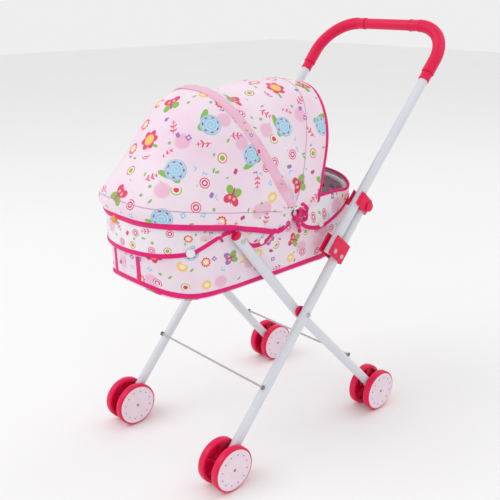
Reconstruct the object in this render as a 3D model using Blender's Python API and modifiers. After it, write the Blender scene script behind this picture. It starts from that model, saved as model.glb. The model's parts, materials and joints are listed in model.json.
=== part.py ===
"""A folding doll stroller: an X frame of thin tubes, a fold-down handle, twin wheels, a fabric
basket on two hinged rim wires and a hood on two bows.

Everything is designed from the front axle: X across the stroller, Y towards the handle, Z up from
the floor. The assembly empty then moves the design so that the origin is under its middle.
Each body of the mechanism is an empty on that body's joint axis, and its pieces are its children.
"""
import math

import bmesh
import bpy
from mathutils import Matrix, Vector

MM = 0.001
GAP = 0.3 * MM                 # air left between pieces that touch

# Tubes and wires
TUBE_D = 14.0 * MM
TUBE_WALL = 1.2 * MM
ROD_D = 3.0 * MM
RIM_WIRE_D = 4.0 * MM
BOW_WIRE_D = 3.0 * MM
PIN_D = 4.0 * MM
PIN_HEAD_D = 7.5 * MM
PIN_HEAD_T = 1.2 * MM
HOLE_PLAY = 0.6 * MM           # how much wider a hole is than its pin

# Wheels
WHEEL_D = 65.0 * MM
DISC_W = 11.0 * MM
DISC_PLAY = 1.3 * MM           # side play between a disc and the leg
WHEEL_HUB_D = 16.0 * MM
WHEEL_RIM_T = 6.0 * MM         # radial depth of the tyre
WHEEL_WEB_T = 3.5 * MM
CAP_D = 59.0 * MM
CAP_T = 2.4 * MM
CAP_RECESS = 1.4 * MM

# Front frame: two straight legs
FRONT_TRACK = 112.0 * MM       # middle plane to the middle of a leg
LEG_ANGLE = math.radians(49.3)
LEG_LENGTH = 416.0 * MM        # front axle to the top end
LEG_TAIL = 9.0 * MM            # leg left beyond the axle
FRONT_ROD_AT = 113.0 * MM      # along the leg from the axle
CROSSING_AT = 231.0 * MM       # along the leg from the axle
SPACER_T = 4.0 * MM
SPACER_MARGIN = 1.5 * MM       # spacer's edge outside the tubes

# Rear frame: legs bent outwards below the crossing
REAR_SPREAD = 4.0 * MM         # rear wheels further out than the front ones
WHEELBASE = 308.0 * MM
REAR_TOP_Y = 40.0 * MM
REAR_TOP_Z = 341.5 * MM
REAR_TOP_PIN = 8.0 * MM        # rim pin below the leg's top end
REAR_STRAIGHT = 14.0 * MM      # straight leg left below the crossing before the first bend
REAR_FOOT_CLEAR = 9.5 * MM     # straight leg left above the wheel discs
REAR_ROD_AT = 0.71             # share of the way between a rear leg's two bends
LEG_CAP_T = 3.5 * MM

# Handle
HANDLE_CLEAR = 4.0 * MM        # between the handle tube and the leg tube behind it
HANDLE_PIVOT_AT = 326.0 * MM   # along the leg from the axle
HANDLE_STRAIGHT = 325.0 * MM   # pivot to the start of the bend
HANDLE_TAIL = 6.5 * MM
HANDLE_BEND_R = 60.0 * MM
HANDLE_SPREAD = 6.0 * MM       # side tubes at the bend further out than at the pivot
GRIP_WALL = 2.2 * MM
GRIP_CENTRE_WALL = 0.7 * MM
GRIP_CENTRE_HALF = 43.0 * MM
GRIP_LOWER = 24.0 * MM         # straight part of an elbow grip below the bend
GRIP_END_LEN = 13.0 * MM
GRIP_END_WALL = 1.0 * MM

# Lower bracket, a U channel round the leg and the handle tube
BRACKET_LEN = 29.0 * MM
BRACKET_RISE = 5.8 * MM        # bracket's middle above the handle pivot
BRACKET_WALL = 2.0 * MM
BRACKET_PLAY = 0.8 * MM
BRACKET_LIP = 3.0 * MM         # how far the walls reach past the handle tube

# Upper clip on the leg's top end
CLIP_AT = 409.0 * MM           # middle of the clip along the leg
CLIP_LEN = 20.0 * MM
CLIP_WALL = 3.2 * MM
CLIP_PLAY = 0.7 * MM
CLIP_LID_RISE = 0.6 * MM       # closed end over the leg
LUG_D = 11.0 * MM
KNOB_LEN = 4.5 * MM            # from the middle of the clip's wall

# Basket and its two rim wires
BASKET_CLEAR = 2.4 * MM        # middle of the fabric wall to the rear legs
FABRIC_T = 1.8 * MM
HEAD_TIP_Y = -61.0 * MM
HEAD_ROUND_Y = 20.0 * MM       # where the sides start to turn in
HEAD_RIM_Z = 362.0 * MM
RIM_RISE = 8.0 * MM            # head rim wire above its pivot on the rear leg
FOOT_END_Y = 286.0 * MM
FOOT_ROUND_AFTER = 3.0 * MM    # straight side left beyond the clip
FOOT_RIM_Z = 371.0 * MM
HINGE_Y = 146.0 * MM           # where the rim wires and the hood bows meet
HINGE_Z = 351.0 * MM
FOOT_ARM_SHORT = 6.0 * MM      # foot rim arms end this far before the hinge
FLOOR_INSET = 4.0 * MM         # floor's edge inside the rim on each side
FLOOR_Z = 263.0 * MM
FLOOR_HEAD_Z = 281.0 * MM
FLOOR_HEAD_Y = -63.0 * MM
FLOOR_FOOT_Y = 294.0 * MM
WALL_ROWS = (0.0, 0.45, 0.85, 1.0)      # rows of the wall, from the rim down to the floor
EYE_T = 1.8 * MM
EYE_MARGIN = 2.0 * MM
EYELET_CLEAR = 1.0 * MM        # fabric cut away round the rim's pivot tab
RIM_EYE_MARGIN = 7.0 * MM      # the head rim's eye is a tall tab below its wire

# Hood
MIDDLE_BOW_TILT = math.radians(31.0)    # from upright, towards the head
FRONT_BOW_TILT = math.radians(-22.0)    # from upright, towards the handle
MIDDLE_BOW_H = 186.0 * MM
FRONT_BOW_H = 178.0 * MM
BOW_POWER = 2.5
WIRE_GAP = 0.4 * MM            # between two wires on the hood pin
OPENING_FOOT = (49.0 * MM, 8.0 * MM)     # front edge above the rim, from the hinge
OPENING_TOP = (96.0 * MM, 160.0 * MM)    # front edge at its highest, from the hinge
HOOD_RIM_LIFT = math.radians(2.0)       # hood's lower edge above the head rim wire
HOOD_HEAD_REACH = 209.0 * MM   # hinge to the hood's edge at the head
HOOD_HEAD_POWER = 4.0
HOOD_CROWN_TILT = math.radians(60.0)
HOOD_CROWN_REACH = 190.0 * MM  # hinge to the head panel's crown
HOOD_CROWN_POWER = 3.0
HOOD_START_TURN = 5.0          # degrees of each arch left free round the hinge
HOOD_COLUMNS = 9
BOW_STEPS = 18

TUBE_R = TUBE_D / 2
HANDLE_OFFSET = TUBE_D + HANDLE_CLEAR
HANDLE_BAR_HALF = FRONT_TRACK + HANDLE_SPREAD
GRIP_BORE = TUBE_D + 2 * GAP
WHEEL_R = WHEEL_D / 2
CENTRE = Vector((0, 0, 0))
SIDES = (("left", -1), ("right", 1))

for old in list(bpy.data.objects):
    bpy.data.objects.remove(old, do_unlink=True)

stroller = bpy.data.collections.new("doll_stroller")
cutters = bpy.data.collections.new("cutters")
bpy.context.scene.collection.children.link(stroller)
bpy.context.scene.collection.children.link(cutters)
cutters.hide_render = True


# ---------------------------------------------------------------- places on the frame

def on_leg(along, forward=0.0, x=FRONT_TRACK):
    """Point beside a front leg: along it from the axle, and forward of it at right angles."""
    y = along * math.cos(LEG_ANGLE) - forward * math.sin(LEG_ANGLE)
    z = WHEEL_R + along * math.sin(LEG_ANGLE) + forward * math.cos(LEG_ANGLE)
    return Vector((x, y, z))


FOOT_WIRE_INSET = RIM_WIRE_D + PIN_HEAD_T + 2 * GAP    # foot arms run inside the hood pins' heads
LEG_SPACING = TUBE_D + SPACER_T + 2 * GAP
REAR_TRACK = FRONT_TRACK + REAR_SPREAD
REAR_FOOT = WHEEL_R + REAR_FOOT_CLEAR
REAR_TOP_X = FRONT_TRACK - LEG_SPACING
BASKET_HALF_W = REAR_TOP_X - TUBE_R - BASKET_CLEAR
FLOOR_HALF_W = BASKET_HALF_W - FLOOR_INSET
CROSSING = on_leg(CROSSING_AT, x=0)
REAR_CROSSING = Vector((REAR_TOP_X, CROSSING.y, CROSSING.z))
REAR_AXLE = Vector((REAR_TRACK, WHEELBASE, WHEEL_R))
REAR_TOP = Vector((REAR_TOP_X, REAR_TOP_Y, REAR_TOP_Z))
REAR_UP = (REAR_TOP - REAR_CROSSING).normalized()
REAR_BEND = REAR_CROSSING - REAR_UP * REAR_STRAIGHT
REAR_FOOT_UP = Vector((0, REAR_BEND.y - REAR_AXLE.y, REAR_BEND.z - REAR_AXLE.z)).normalized()
REAR_LOW_BEND = REAR_AXLE + REAR_FOOT_UP * REAR_FOOT
RIM_PIVOT = REAR_TOP - REAR_UP * REAR_TOP_PIN
HANDLE_PIVOT = on_leg(HANDLE_PIVOT_AT, HANDLE_OFFSET, x=0)
CLIP_PIVOT = on_leg(CLIP_AT, x=0)
HINGE = Vector((0, HINGE_Y, HINGE_Z))
FOOT_ROUND_Y = CLIP_PIVOT.y + FOOT_ROUND_AFTER
FOOT_WIRE_X = BASKET_HALF_W - FOOT_WIRE_INSET
HANDLE_BAR = on_leg(HANDLE_PIVOT_AT + HANDLE_STRAIGHT + HANDLE_BEND_R, HANDLE_OFFSET, x=0)
ORIGIN_Y = (FLOOR_HEAD_Y - FABRIC_T / 2 + HANDLE_BAR.y + GRIP_BORE / 2 + GRIP_WALL) / 2


def handle_x(along):
    """Distance of a handle tube from the middle plane, along it from the pivot."""
    return FRONT_TRACK + (HANDLE_BAR_HALF - FRONT_TRACK) * along / HANDLE_STRAIGHT


# ---------------------------------------------------------------- bodies and materials

def make_body(name, origin, parent=None):
    """An empty on the joint axis of one moving body."""
    body = bpy.data.objects.new(name, None)
    body.empty_display_size = 0.02
    stroller.objects.link(body)
    body["design_origin"] = tuple(origin)
    if parent is None:
        body.location = origin
        return body
    body.parent = parent
    body.location = Vector(origin) - Vector(parent["design_origin"])
    return body


def place(piece, body, position=CENTRE):
    """Parent a piece to its body and set it at a point of the design."""
    piece.parent = body
    piece.location = Vector(position) - Vector(body["design_origin"])
    return piece


def make_material(name, color, roughness, metallic=0.0):
    """A Principled material of one colour."""
    material = bpy.data.materials.new(name)
    material.use_nodes = True
    shader = material.node_tree.nodes["Principled BSDF"]
    shader.inputs["Base Color"].default_value = (*color, 1.0)
    shader.inputs["Roughness"].default_value = roughness
    shader.inputs["Metallic"].default_value = metallic
    material.diffuse_color = (*color, 1.0)
    return material


WHITE_PAINT = make_material("white_paint", (0.80, 0.80, 0.83), 0.32)
PINK_PLASTIC = make_material("pink_plastic", (0.82, 0.012, 0.10), 0.35)
PALE_PLASTIC = make_material("pale_pink_plastic", (0.90, 0.62, 0.74), 0.45)
STEEL = make_material("zinc_steel", (0.62, 0.62, 0.60), 0.35, 1.0)
FABRIC = make_material("printed_fabric", (0.90, 0.62, 0.76), 0.85)


# ---------------------------------------------------------------- making pieces

def add_object(name, data, material, collection=stroller):
    """Link an object for this data, with its material."""
    piece = bpy.data.objects.new(name, data)
    collection.objects.link(piece)
    if material is not None:
        data.materials.append(material)
    return piece


def curve_data(name, points, diameter, caps, resolution):
    """A poly curve bevelled to a round bar."""
    data = bpy.data.curves.new(name, "CURVE")
    data.dimensions = "3D"
    data.bevel_depth = diameter / 2
    data.bevel_resolution = resolution
    data.use_fill_caps = caps
    spline = data.splines.new("POLY")
    spline.points.add(len(points) - 1)
    for node, point in zip(spline.points, points):
        node.co = (*point, 1.0)
    return data


def as_mesh(data, name):
    """The closed mesh of a curve, so that it can be cut and joined."""
    source = bpy.data.objects.new(name, data)
    bpy.context.scene.collection.objects.link(source)
    bpy.context.view_layer.update()
    mesh = bpy.data.meshes.new_from_object(source.evaluated_get(bpy.context.evaluated_depsgraph_get()))
    bpy.data.objects.remove(source, do_unlink=True)
    work = bmesh.new()
    work.from_mesh(mesh)
    bmesh.ops.remove_doubles(work, verts=work.verts, dist=0.01 * MM)
    work.to_mesh(mesh)
    work.free()
    mesh.materials.clear()
    return mesh


def bar(name, points, diameter, material, resolution=1):
    """A solid round bar or wire along points."""
    return add_object(name, as_mesh(curve_data(name, points, diameter, True, resolution), name), material)


def tube(name, points, diameter, wall, material, resolution=4):
    """A hollow tube along points, open at both ends."""
    piece = add_object(name, as_mesh(curve_data(name, points, diameter, False, resolution), name), material)
    shell = piece.modifiers.new("wall", "SOLIDIFY")
    shell.thickness = wall
    shell.offset = -1
    return piece


def ring_profile(name, outline, material, steps=24, closed=True):
    """A turned piece from (radius, height) points, outer side top to bottom, about Z."""
    mesh = bpy.data.meshes.new(name)
    count = len(outline)
    edges = [(i, i + 1) for i in range(count - 1)]
    if closed:
        edges.append((count - 1, 0))
    mesh.from_pydata([(radius, 0, height) for radius, height in outline], edges, [])
    piece = add_object(name, mesh, material)
    turn = piece.modifiers.new("turn", "SCREW")
    turn.axis = "Z"
    turn.steps = steps
    turn.render_steps = steps
    turn.use_merge_vertices = True
    turn.merge_threshold = 0.00001
    return piece


def across(piece, flip=1):
    """Turn a piece made about Z so that it lies along X; flip -1 points it to the left."""
    piece.rotation_euler = (0, flip * math.pi / 2, 0)
    return piece


def cylinder_mesh(name, start, end, diameter, segments=12):
    """A closed cylinder between two points."""
    axis = Vector(end) - Vector(start)
    work = bmesh.new()
    turn = axis.to_track_quat("Z", "Y").to_matrix().to_4x4()
    bmesh.ops.create_cone(work, cap_ends=True, segments=segments, radius1=diameter / 2,
                          radius2=diameter / 2, depth=axis.length,
                          matrix=Matrix.Translation((Vector(start) + Vector(end)) / 2) @ turn)
    mesh = bpy.data.meshes.new(name)
    work.to_mesh(mesh)
    work.free()
    return mesh


def tool(name, body, start, end, diameter, segments=12):
    """A hidden cylinder that cuts or joins."""
    piece = add_object(name, cylinder_mesh(name, start, end, diameter, segments), None, cutters)
    piece.hide_render = True
    piece.display_type = "WIRE"
    return place(piece, body)


def combine(piece, other, operation):
    """Cut or join a piece with a hidden tool."""
    step = piece.modifiers.new(operation.lower(), "BOOLEAN")
    step.operation = operation
    step.solver = "EXACT"
    step.object = other


def drill(piece, body, centre, length, diameter, label):
    """A hole along X with its middle at a point of the design."""
    half = Vector((length / 2, 0, 0))
    hole = tool(f"{piece.name}_{label}_hole", body, centre - half, centre + half, diameter)
    combine(piece, hole, "DIFFERENCE")


def add_eye(piece, body, centre, bore, margin=EYE_MARGIN, thickness=EYE_T, label="eye"):
    """A flat eye on a wire's end, across X, with its hole."""
    half = Vector((thickness / 2, 0, 0))
    diameter = bore + 2 * margin
    disc = tool(f"{piece.name}_{label}", body, centre - half, centre + half, diameter, 16)
    combine(piece, disc, "UNION")
    drill(piece, body, centre, 4 * thickness, bore, label)


def pin(name, body, centre, x_inner, x_outer, side, diameter=PIN_D, head_d=PIN_HEAD_D):
    """A rivet along X from x_inner to x_outer, measured outwards from the middle plane."""
    radius = diameter / 2
    head = head_d / 2
    length = x_outer - x_inner
    outline = [(0, length), (head * 0.6, length), (head, length - PIN_HEAD_T),
               (radius, length - PIN_HEAD_T), (radius, PIN_HEAD_T), (head, PIN_HEAD_T),
               (head * 0.6, 0), (0, 0)]
    piece = ring_profile(name, outline, STEEL, steps=12, closed=False)
    across(piece, side)
    return place(piece, body, (side * x_inner, centre.y, centre.z))


# ---------------------------------------------------------------- the bodies

assembly = make_body("stroller_origin", CENTRE)
assembly.location = (0, -ORIGIN_Y, 0)
front_frame = make_body("front_frame_body", CENTRE, assembly)
rear_frame = make_body("rear_frame_body", CROSSING, front_frame)
head_rim = make_body("head_rim_body", (0, RIM_PIVOT.y, RIM_PIVOT.z), rear_frame)
foot_rim = make_body("foot_rim_body", CLIP_PIVOT, front_frame)
hood_middle = make_body("hood_middle_body", HINGE, head_rim)
hood_front = make_body("hood_front_body", HINGE, hood_middle)
handle = make_body("handle_body", HANDLE_PIVOT, front_frame)


# ---------------------------------------------------------------- wheels

HUB_BORE = PIN_D + 2 * GAP
HUB_R = WHEEL_HUB_D / 2
TYRE_INNER_R = WHEEL_R - WHEEL_RIM_T
TREAD_CHAMFER = 1.4 * MM
CAP_CHAMFER = 0.8 * MM
WHEEL_STEPS = 20
DISC_INNER_FACE = TUBE_R + DISC_PLAY


def wheel_disc(name):
    """One moulded disc: tyre, web and hub; height 0 is its leg side, DISC_W its capped side."""
    bore = HUB_BORE / 2
    web_top = DISC_W - CAP_RECESS
    recess_r = CAP_D / 2 + GAP
    outline = [(recess_r, DISC_W), (WHEEL_R - TREAD_CHAMFER, DISC_W),
               (WHEEL_R, DISC_W - TREAD_CHAMFER), (WHEEL_R, 0), (TYRE_INNER_R, 0),
               (TYRE_INNER_R, web_top - WHEEL_WEB_T), (HUB_R, web_top - WHEEL_WEB_T), (HUB_R, 0),
               (bore, 0), (bore, web_top), (recess_r, web_top)]
    return ring_profile(name, outline, PINK_PLASTIC, steps=WHEEL_STEPS)


def wheel_cap(name):
    """The thin cap pressed into a disc's outer face."""
    bore = HUB_BORE / 2
    radius = CAP_D / 2
    outline = [(bore, CAP_T), (radius - CAP_CHAMFER, CAP_T), (radius, CAP_T - CAP_CHAMFER),
               (radius, 0), (bore, 0)]
    return ring_profile(name, outline, PALE_PLASTIC, steps=WHEEL_STEPS)


def wheel_pair(place_name, frame_body, side_name, side, track, y):
    """Two discs with caps on one turning axle, either side of the leg's end."""
    hub = Vector((side * track, y, WHEEL_R))
    body = make_body(f"{place_name}_wheel_{side_name}_body", hub, frame_body)
    for part, way in (("outer", side), ("inner", -side)):
        prefix = f"{place_name}_wheel_{side_name}_{part}"
        disc = across(wheel_disc(f"{prefix}_disc"), way)
        place(disc, body, hub + Vector((way * DISC_INNER_FACE, 0, 0)))
        cap = across(wheel_cap(f"{prefix}_cap"), way)
        seat = DISC_INNER_FACE + DISC_W - CAP_RECESS + GAP
        place(cap, body, hub + Vector((way * seat, 0, 0)))
    reach = DISC_INNER_FACE + DISC_W - CAP_RECESS + CAP_T
    name = f"{place_name}_axle_{side_name}"
    axle = add_object(name, cylinder_mesh(name, (-reach, 0, 0), (reach, 0, 0), PIN_D), STEEL)
    place(axle, body, hub)
    return body


for side_name, side in SIDES:
    wheel_pair("front", front_frame, side_name, side, FRONT_TRACK, 0)
    wheel_pair("rear", rear_frame, side_name, side, REAR_TRACK, WHEELBASE)


# ---------------------------------------------------------------- front frame

PIN_HOLE = PIN_D + HOLE_PLAY
HOLE_SPAN = TUBE_D * 1.4

for side_name, side in SIDES:
    leg = tube(f"front_leg_{side_name}",
               [on_leg(-LEG_TAIL, x=side * FRONT_TRACK), on_leg(LEG_LENGTH, x=side * FRONT_TRACK)],
               TUBE_D, TUBE_WALL, WHITE_PAINT)
    place(leg, front_frame)
    for label, along in (("axle", 0), ("crossing", CROSSING_AT), ("bracket", HANDLE_PIVOT_AT)):
        drill(leg, front_frame, on_leg(along, x=side * FRONT_TRACK), HOLE_SPAN, PIN_HOLE, label)

    crossing_at = on_leg(CROSSING_AT)
    spacer_r = TUBE_R + SPACER_MARGIN
    spacer = ring_profile(f"crossing_spacer_{side_name}",
                          [(PIN_HOLE / 2, SPACER_T), (spacer_r, SPACER_T), (spacer_r, 0), (PIN_HOLE / 2, 0)],
                          PINK_PLASTIC)
    across(spacer, side)
    place(spacer, front_frame, (side * (REAR_TOP_X + TUBE_R + GAP), crossing_at.y, crossing_at.z))
    pin(f"crossing_rivet_{side_name}", front_frame, crossing_at,
        REAR_TOP_X - TUBE_R - GAP - PIN_HEAD_T, FRONT_TRACK + TUBE_R + GAP + PIN_HEAD_T, side)


def rod_between(name, body, end):
    """A thin cross rod with flattened ends, lying on the faces of two legs."""
    reach = Vector((end.x, 0, 0))
    middle = Vector((0, end.y, end.z))
    rod = bar(name, [middle - reach, middle + reach], ROD_D, WHITE_PAINT)
    return place(rod, body)


rod_between("front_cross_rod", front_frame,
            on_leg(FRONT_ROD_AT, TUBE_R + GAP + ROD_D / 2, x=FRONT_TRACK + TUBE_R / 2))


def flat_outline(name, loops, thickness, material):
    """A flat plate from closed loops of (across, forward) points; inner loops are holes."""
    data = bpy.data.curves.new(name, "CURVE")
    data.dimensions = "2D"
    data.fill_mode = "BOTH"
    data.extrude = thickness / 2
    for loop in loops:
        spline = data.splines.new("POLY")
        spline.points.add(len(loop) - 1)
        for node, point in zip(spline.points, loop):
            node.co = (*point, 0, 1)
        spline.use_cyclic_u = True
    return add_object(name, as_mesh(data, name), material)


def arc(centre, radius, start, end, count):
    """Points on an arc of (across, forward) coordinates, angles in degrees."""
    points = []
    for i in range(count + 1):
        angle = math.radians(start + (end - start) * i / count)
        points.append((centre[0] + radius * math.cos(angle), centre[1] + radius * math.sin(angle)))
    return points


def stand_on_leg(piece, body, along, side):
    """Set a flat plate at right angles to a leg: its Y points forward of the leg, its Z down it."""
    piece.rotation_euler = (math.pi / 2 + LEG_ANGLE, 0, 0)
    return place(piece, body, on_leg(along, x=side * FRONT_TRACK))


def bracket_loop():
    """U outline round the leg tube, open in front of the handle tube."""
    inner = TUBE_R + BRACKET_PLAY
    outer = inner + BRACKET_WALL
    lip = HANDLE_OFFSET + TUBE_R + BRACKET_LIP
    return [(-outer, lip), (-outer, -outer + BRACKET_WALL), (-outer + BRACKET_WALL, -outer),
            (outer - BRACKET_WALL, -outer), (outer, -outer + BRACKET_WALL), (outer, lip),
            (inner, lip), (inner, -inner), (-inner, -inner), (-inner, lip)]


def clip_loops(slot_x):
    """Two humps: a closed hole for the leg and an open mouth for the handle tube."""
    hole = TUBE_R + GAP
    outer = hole + CLIP_WALL
    slot = TUBE_R + CLIP_PLAY
    body = arc((0, 0), outer, 180, 360, 10)
    body += arc((slot_x, HANDLE_OFFSET + CLIP_WALL / 2), outer, 0, 45, 2)
    body += [(slot_x + slot, HANDLE_OFFSET + TUBE_R * 0.75)]
    body += arc((slot_x, HANDLE_OFFSET), slot, 0, -180, 8)
    body += [(slot_x - slot, HANDLE_OFFSET + TUBE_R * 0.75)]
    body += arc((slot_x, HANDLE_OFFSET + CLIP_WALL / 2), outer, 135, 180, 2)
    leg_hole = arc((0, 0), hole, 0, -360, 16)[:-1]
    return [body, leg_hole]


for side_name, side in SIDES:
    bracket = flat_outline(f"lower_bracket_{side_name}", [bracket_loop()], BRACKET_LEN, PINK_PLASTIC)
    stand_on_leg(bracket, front_frame, HANDLE_PIVOT_AT + BRACKET_RISE, side)
    bracket_x = TUBE_R + BRACKET_PLAY + BRACKET_WALL
    span = 2.4 * bracket_x
    for label, forward in (("leg", 0), ("handle", HANDLE_OFFSET)):
        centre = on_leg(HANDLE_PIVOT_AT, forward, x=side * FRONT_TRACK)
        drill(bracket, front_frame, centre, span, PIN_HOLE, label)
    head_gap = bracket_x + GAP + PIN_HEAD_T
    pin(f"bracket_rivet_{side_name}", front_frame, on_leg(HANDLE_PIVOT_AT),
        FRONT_TRACK - head_gap, FRONT_TRACK + head_gap, side)
    pin(f"handle_pivot_rivet_{side_name}", front_frame, HANDLE_PIVOT,
        FRONT_TRACK - head_gap, FRONT_TRACK + head_gap, side)

    slot_x = side * (handle_x(CLIP_AT - HANDLE_PIVOT_AT) - FRONT_TRACK)
    clip = flat_outline(f"upper_clip_{side_name}", clip_loops(slot_x), CLIP_LEN, PINK_PLASTIC)
    stand_on_leg(clip, front_frame, CLIP_AT, side)
    lug_start = Vector((side * (FRONT_TRACK - TUBE_R - GAP - CLIP_WALL / 2), CLIP_PIVOT.y, CLIP_PIVOT.z))
    lug_end = Vector((side * (BASKET_HALF_W + FABRIC_T + GAP), CLIP_PIVOT.y, CLIP_PIVOT.z))
    stud_end = Vector((side * (FOOT_WIRE_X - RIM_WIRE_D / 2 - GAP), CLIP_PIVOT.y, CLIP_PIVOT.z))
    lug = tool(f"clip_lug_{side_name}", front_frame, lug_start, lug_end, LUG_D, 14)
    combine(clip, lug, "UNION")
    stud = tool(f"clip_stud_{side_name}", front_frame, lug_start, stud_end, PIN_D, 12)
    combine(clip, stud, "UNION")
    knob_start = Vector((side * (FRONT_TRACK + TUBE_R + GAP + CLIP_WALL / 2), CLIP_PIVOT.y, CLIP_PIVOT.z))
    knob_end = knob_start + Vector((side * KNOB_LEN, 0, 0))
    lid = tool(f"clip_lid_{side_name}", front_frame, on_leg(LEG_LENGTH + GAP, x=side * FRONT_TRACK),
               on_leg(CLIP_AT + CLIP_LEN / 2 + CLIP_LID_RISE, x=side * FRONT_TRACK),
               TUBE_D + 2 * CLIP_WALL, 16)
    combine(clip, lid, "UNION")
    knob = tool(f"clip_knob_{side_name}", front_frame, knob_start, knob_end, TUBE_D, 16)
    combine(clip, knob, "UNION")


# ---------------------------------------------------------------- rear frame

rear_down = REAR_LOW_BEND - REAR_BEND
for side_name, side in SIDES:
    mirror = Vector((side, 1, 1))
    top = REAR_TOP * mirror
    bend = REAR_BEND * mirror
    foot = (REAR_AXLE - REAR_FOOT_UP * LEG_TAIL) * mirror
    leg = tube(f"rear_leg_{side_name}", [top, bend, REAR_LOW_BEND * mirror, foot], TUBE_D, TUBE_WALL,
               WHITE_PAINT)
    place(leg, rear_frame)
    drill(leg, rear_frame, RIM_PIVOT * mirror, HOLE_SPAN, PIN_HOLE, "rim")
    drill(leg, rear_frame, REAR_CROSSING * mirror, HOLE_SPAN, PIN_HOLE, "crossing")
    drill(leg, rear_frame, REAR_AXLE * mirror, HOLE_SPAN, PIN_HOLE, "axle")

    cap = ring_profile(f"leg_cap_{side_name}",
                       [(0, LEG_CAP_T), (TUBE_R * 0.7, LEG_CAP_T), (TUBE_R + GAP, LEG_CAP_T * 0.5),
                        (TUBE_R + GAP, GAP), (TUBE_R - TUBE_WALL - GAP, GAP),
                        (TUBE_R - TUBE_WALL - GAP, -LEG_CAP_T * 0.6), (0, -LEG_CAP_T * 0.6)],
                       PINK_PLASTIC, steps=16, closed=False)
    cap.rotation_euler = (REAR_UP * mirror).to_track_quat("Z", "Y").to_euler()
    place(cap, rear_frame, top)
    pin(f"head_rim_rivet_{side_name}", rear_frame, RIM_PIVOT,
        BASKET_HALF_W - EYE_T / 2 - GAP - PIN_HEAD_T, REAR_TOP_X + TUBE_R + GAP + PIN_HEAD_T, side)

rod_normal = Vector((0, -rear_down.z, rear_down.y)).normalized()
rod_end = REAR_BEND + rear_down * REAR_ROD_AT + rod_normal * (TUBE_R + GAP + ROD_D / 2)
rod_between("rear_cross_rod", rear_frame, rod_end + Vector((TUBE_R / 2, 0, 0)))


# ---------------------------------------------------------------- handle

def handle_point(along, x):
    """Point in the handle's plane, along its side tubes from the pivot."""
    return on_leg(HANDLE_PIVOT_AT + along, HANDLE_OFFSET, x)


def handle_corner(side, start, end, count):
    """Points round one bend, from the side tube (0 degrees) to the bar (90 degrees)."""
    points = []
    for i in range(count + 1):
        angle = math.radians(start + (end - start) * i / count)
        along = HANDLE_STRAIGHT + HANDLE_BEND_R * math.sin(angle)
        x = HANDLE_BAR_HALF - HANDLE_BEND_R * (1 - math.cos(angle))
        points.append(handle_point(along, side * x))
    return points


loop = [handle_point(-HANDLE_TAIL, handle_x(-HANDLE_TAIL))]
loop += handle_corner(1, 0, 90, 6)
loop += handle_corner(-1, 90, 0, 6)
loop += [handle_point(-HANDLE_TAIL, -handle_x(-HANDLE_TAIL))]
handle_tube = tube("handle_tube", loop, TUBE_D, TUBE_WALL, WHITE_PAINT)
place(handle_tube, handle)
for side_name, side in SIDES:
    drill(handle_tube, handle, handle_point(0, side * FRONT_TRACK), HOLE_SPAN, PIN_HOLE, side_name)

BAR_ALONG = HANDLE_STRAIGHT + HANDLE_BEND_R


def sleeve(name, points, wall):
    """A grip sleeve round the handle tube."""
    piece = tube(name, points, GRIP_BORE + 2 * wall, wall, PINK_PLASTIC)
    return place(piece, handle)


for side_name, side in SIDES:
    elbow = [handle_point(HANDLE_STRAIGHT - GRIP_LOWER, side * handle_x(HANDLE_STRAIGHT - GRIP_LOWER))]
    elbow += handle_corner(side, 0, 90, 6)
    elbow += [handle_point(BAR_ALONG, side * (GRIP_CENTRE_HALF + GAP))]
    sleeve(f"grip_elbow_{side_name}", elbow, GRIP_WALL)
    low = HANDLE_STRAIGHT - GRIP_LOWER - GAP
    sleeve(f"grip_end_{side_name}",
           [handle_point(low - GRIP_END_LEN, side * handle_x(low - GRIP_END_LEN)),
            handle_point(low, side * handle_x(low))], GRIP_END_WALL)
sleeve("grip_centre", [handle_point(BAR_ALONG, -GRIP_CENTRE_HALF),
                       handle_point(BAR_ALONG, GRIP_CENTRE_HALF)], GRIP_CENTRE_WALL)


# ---------------------------------------------------------------- basket and rim wires

def smooth(value):
    """Smooth step from 0 to 1."""
    value = min(max(value, 0.0), 1.0)
    return value * value * (3 - 2 * value)


def rim_height(y):
    """Height of the rim wires' middle line at a place along the stroller."""
    if y < RIM_PIVOT.y:
        share = (RIM_PIVOT.y - y) / (RIM_PIVOT.y - HEAD_TIP_Y)
        return RIM_LOW_Z + (HEAD_RIM_Z - RIM_LOW_Z) * smooth(share)
    if y < HINGE_Y:
        return RIM_LOW_Z + (HINGE_Z - RIM_LOW_Z) * (y - RIM_PIVOT.y) / (HINGE_Y - RIM_PIVOT.y)
    if y < FOOT_ROUND_Y:
        return HINGE_Z + (CLIP_PIVOT.z - HINGE_Z) * min((y - HINGE_Y) / (CLIP_PIVOT.y - HINGE_Y), 1.0)
    share = (y - FOOT_ROUND_Y) / (FOOT_END_Y - FOOT_ROUND_Y)
    return CLIP_PIVOT.z + (FOOT_RIM_Z - CLIP_PIVOT.z) * share


RIM_LOW_Z = RIM_PIVOT.z + RIM_RISE
ROUND_STEPS = 8


def plan_end(half_width, round_y, tip_y):
    """Quarter outline from the side at round_y to the tip on the middle plane."""
    points = []
    for i in range(ROUND_STEPS + 1):
        angle = math.pi / 2 * i / ROUND_STEPS
        x = half_width * math.cos(angle) ** 0.8
        y = round_y + (tip_y - round_y) * math.sin(angle) ** 0.9
        points.append((x if i < ROUND_STEPS else 0.0, y))
    return points


def head_wire_half():
    """The right half of the head rim wire, hinge first."""
    outline = [(BASKET_HALF_W, HINGE_Y), (BASKET_HALF_W, RIM_PIVOT.y)]
    outline += plan_end(BASKET_HALF_W, HEAD_ROUND_Y, HEAD_TIP_Y)
    return [Vector((x, y, rim_height(y))) for x, y in outline]


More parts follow.
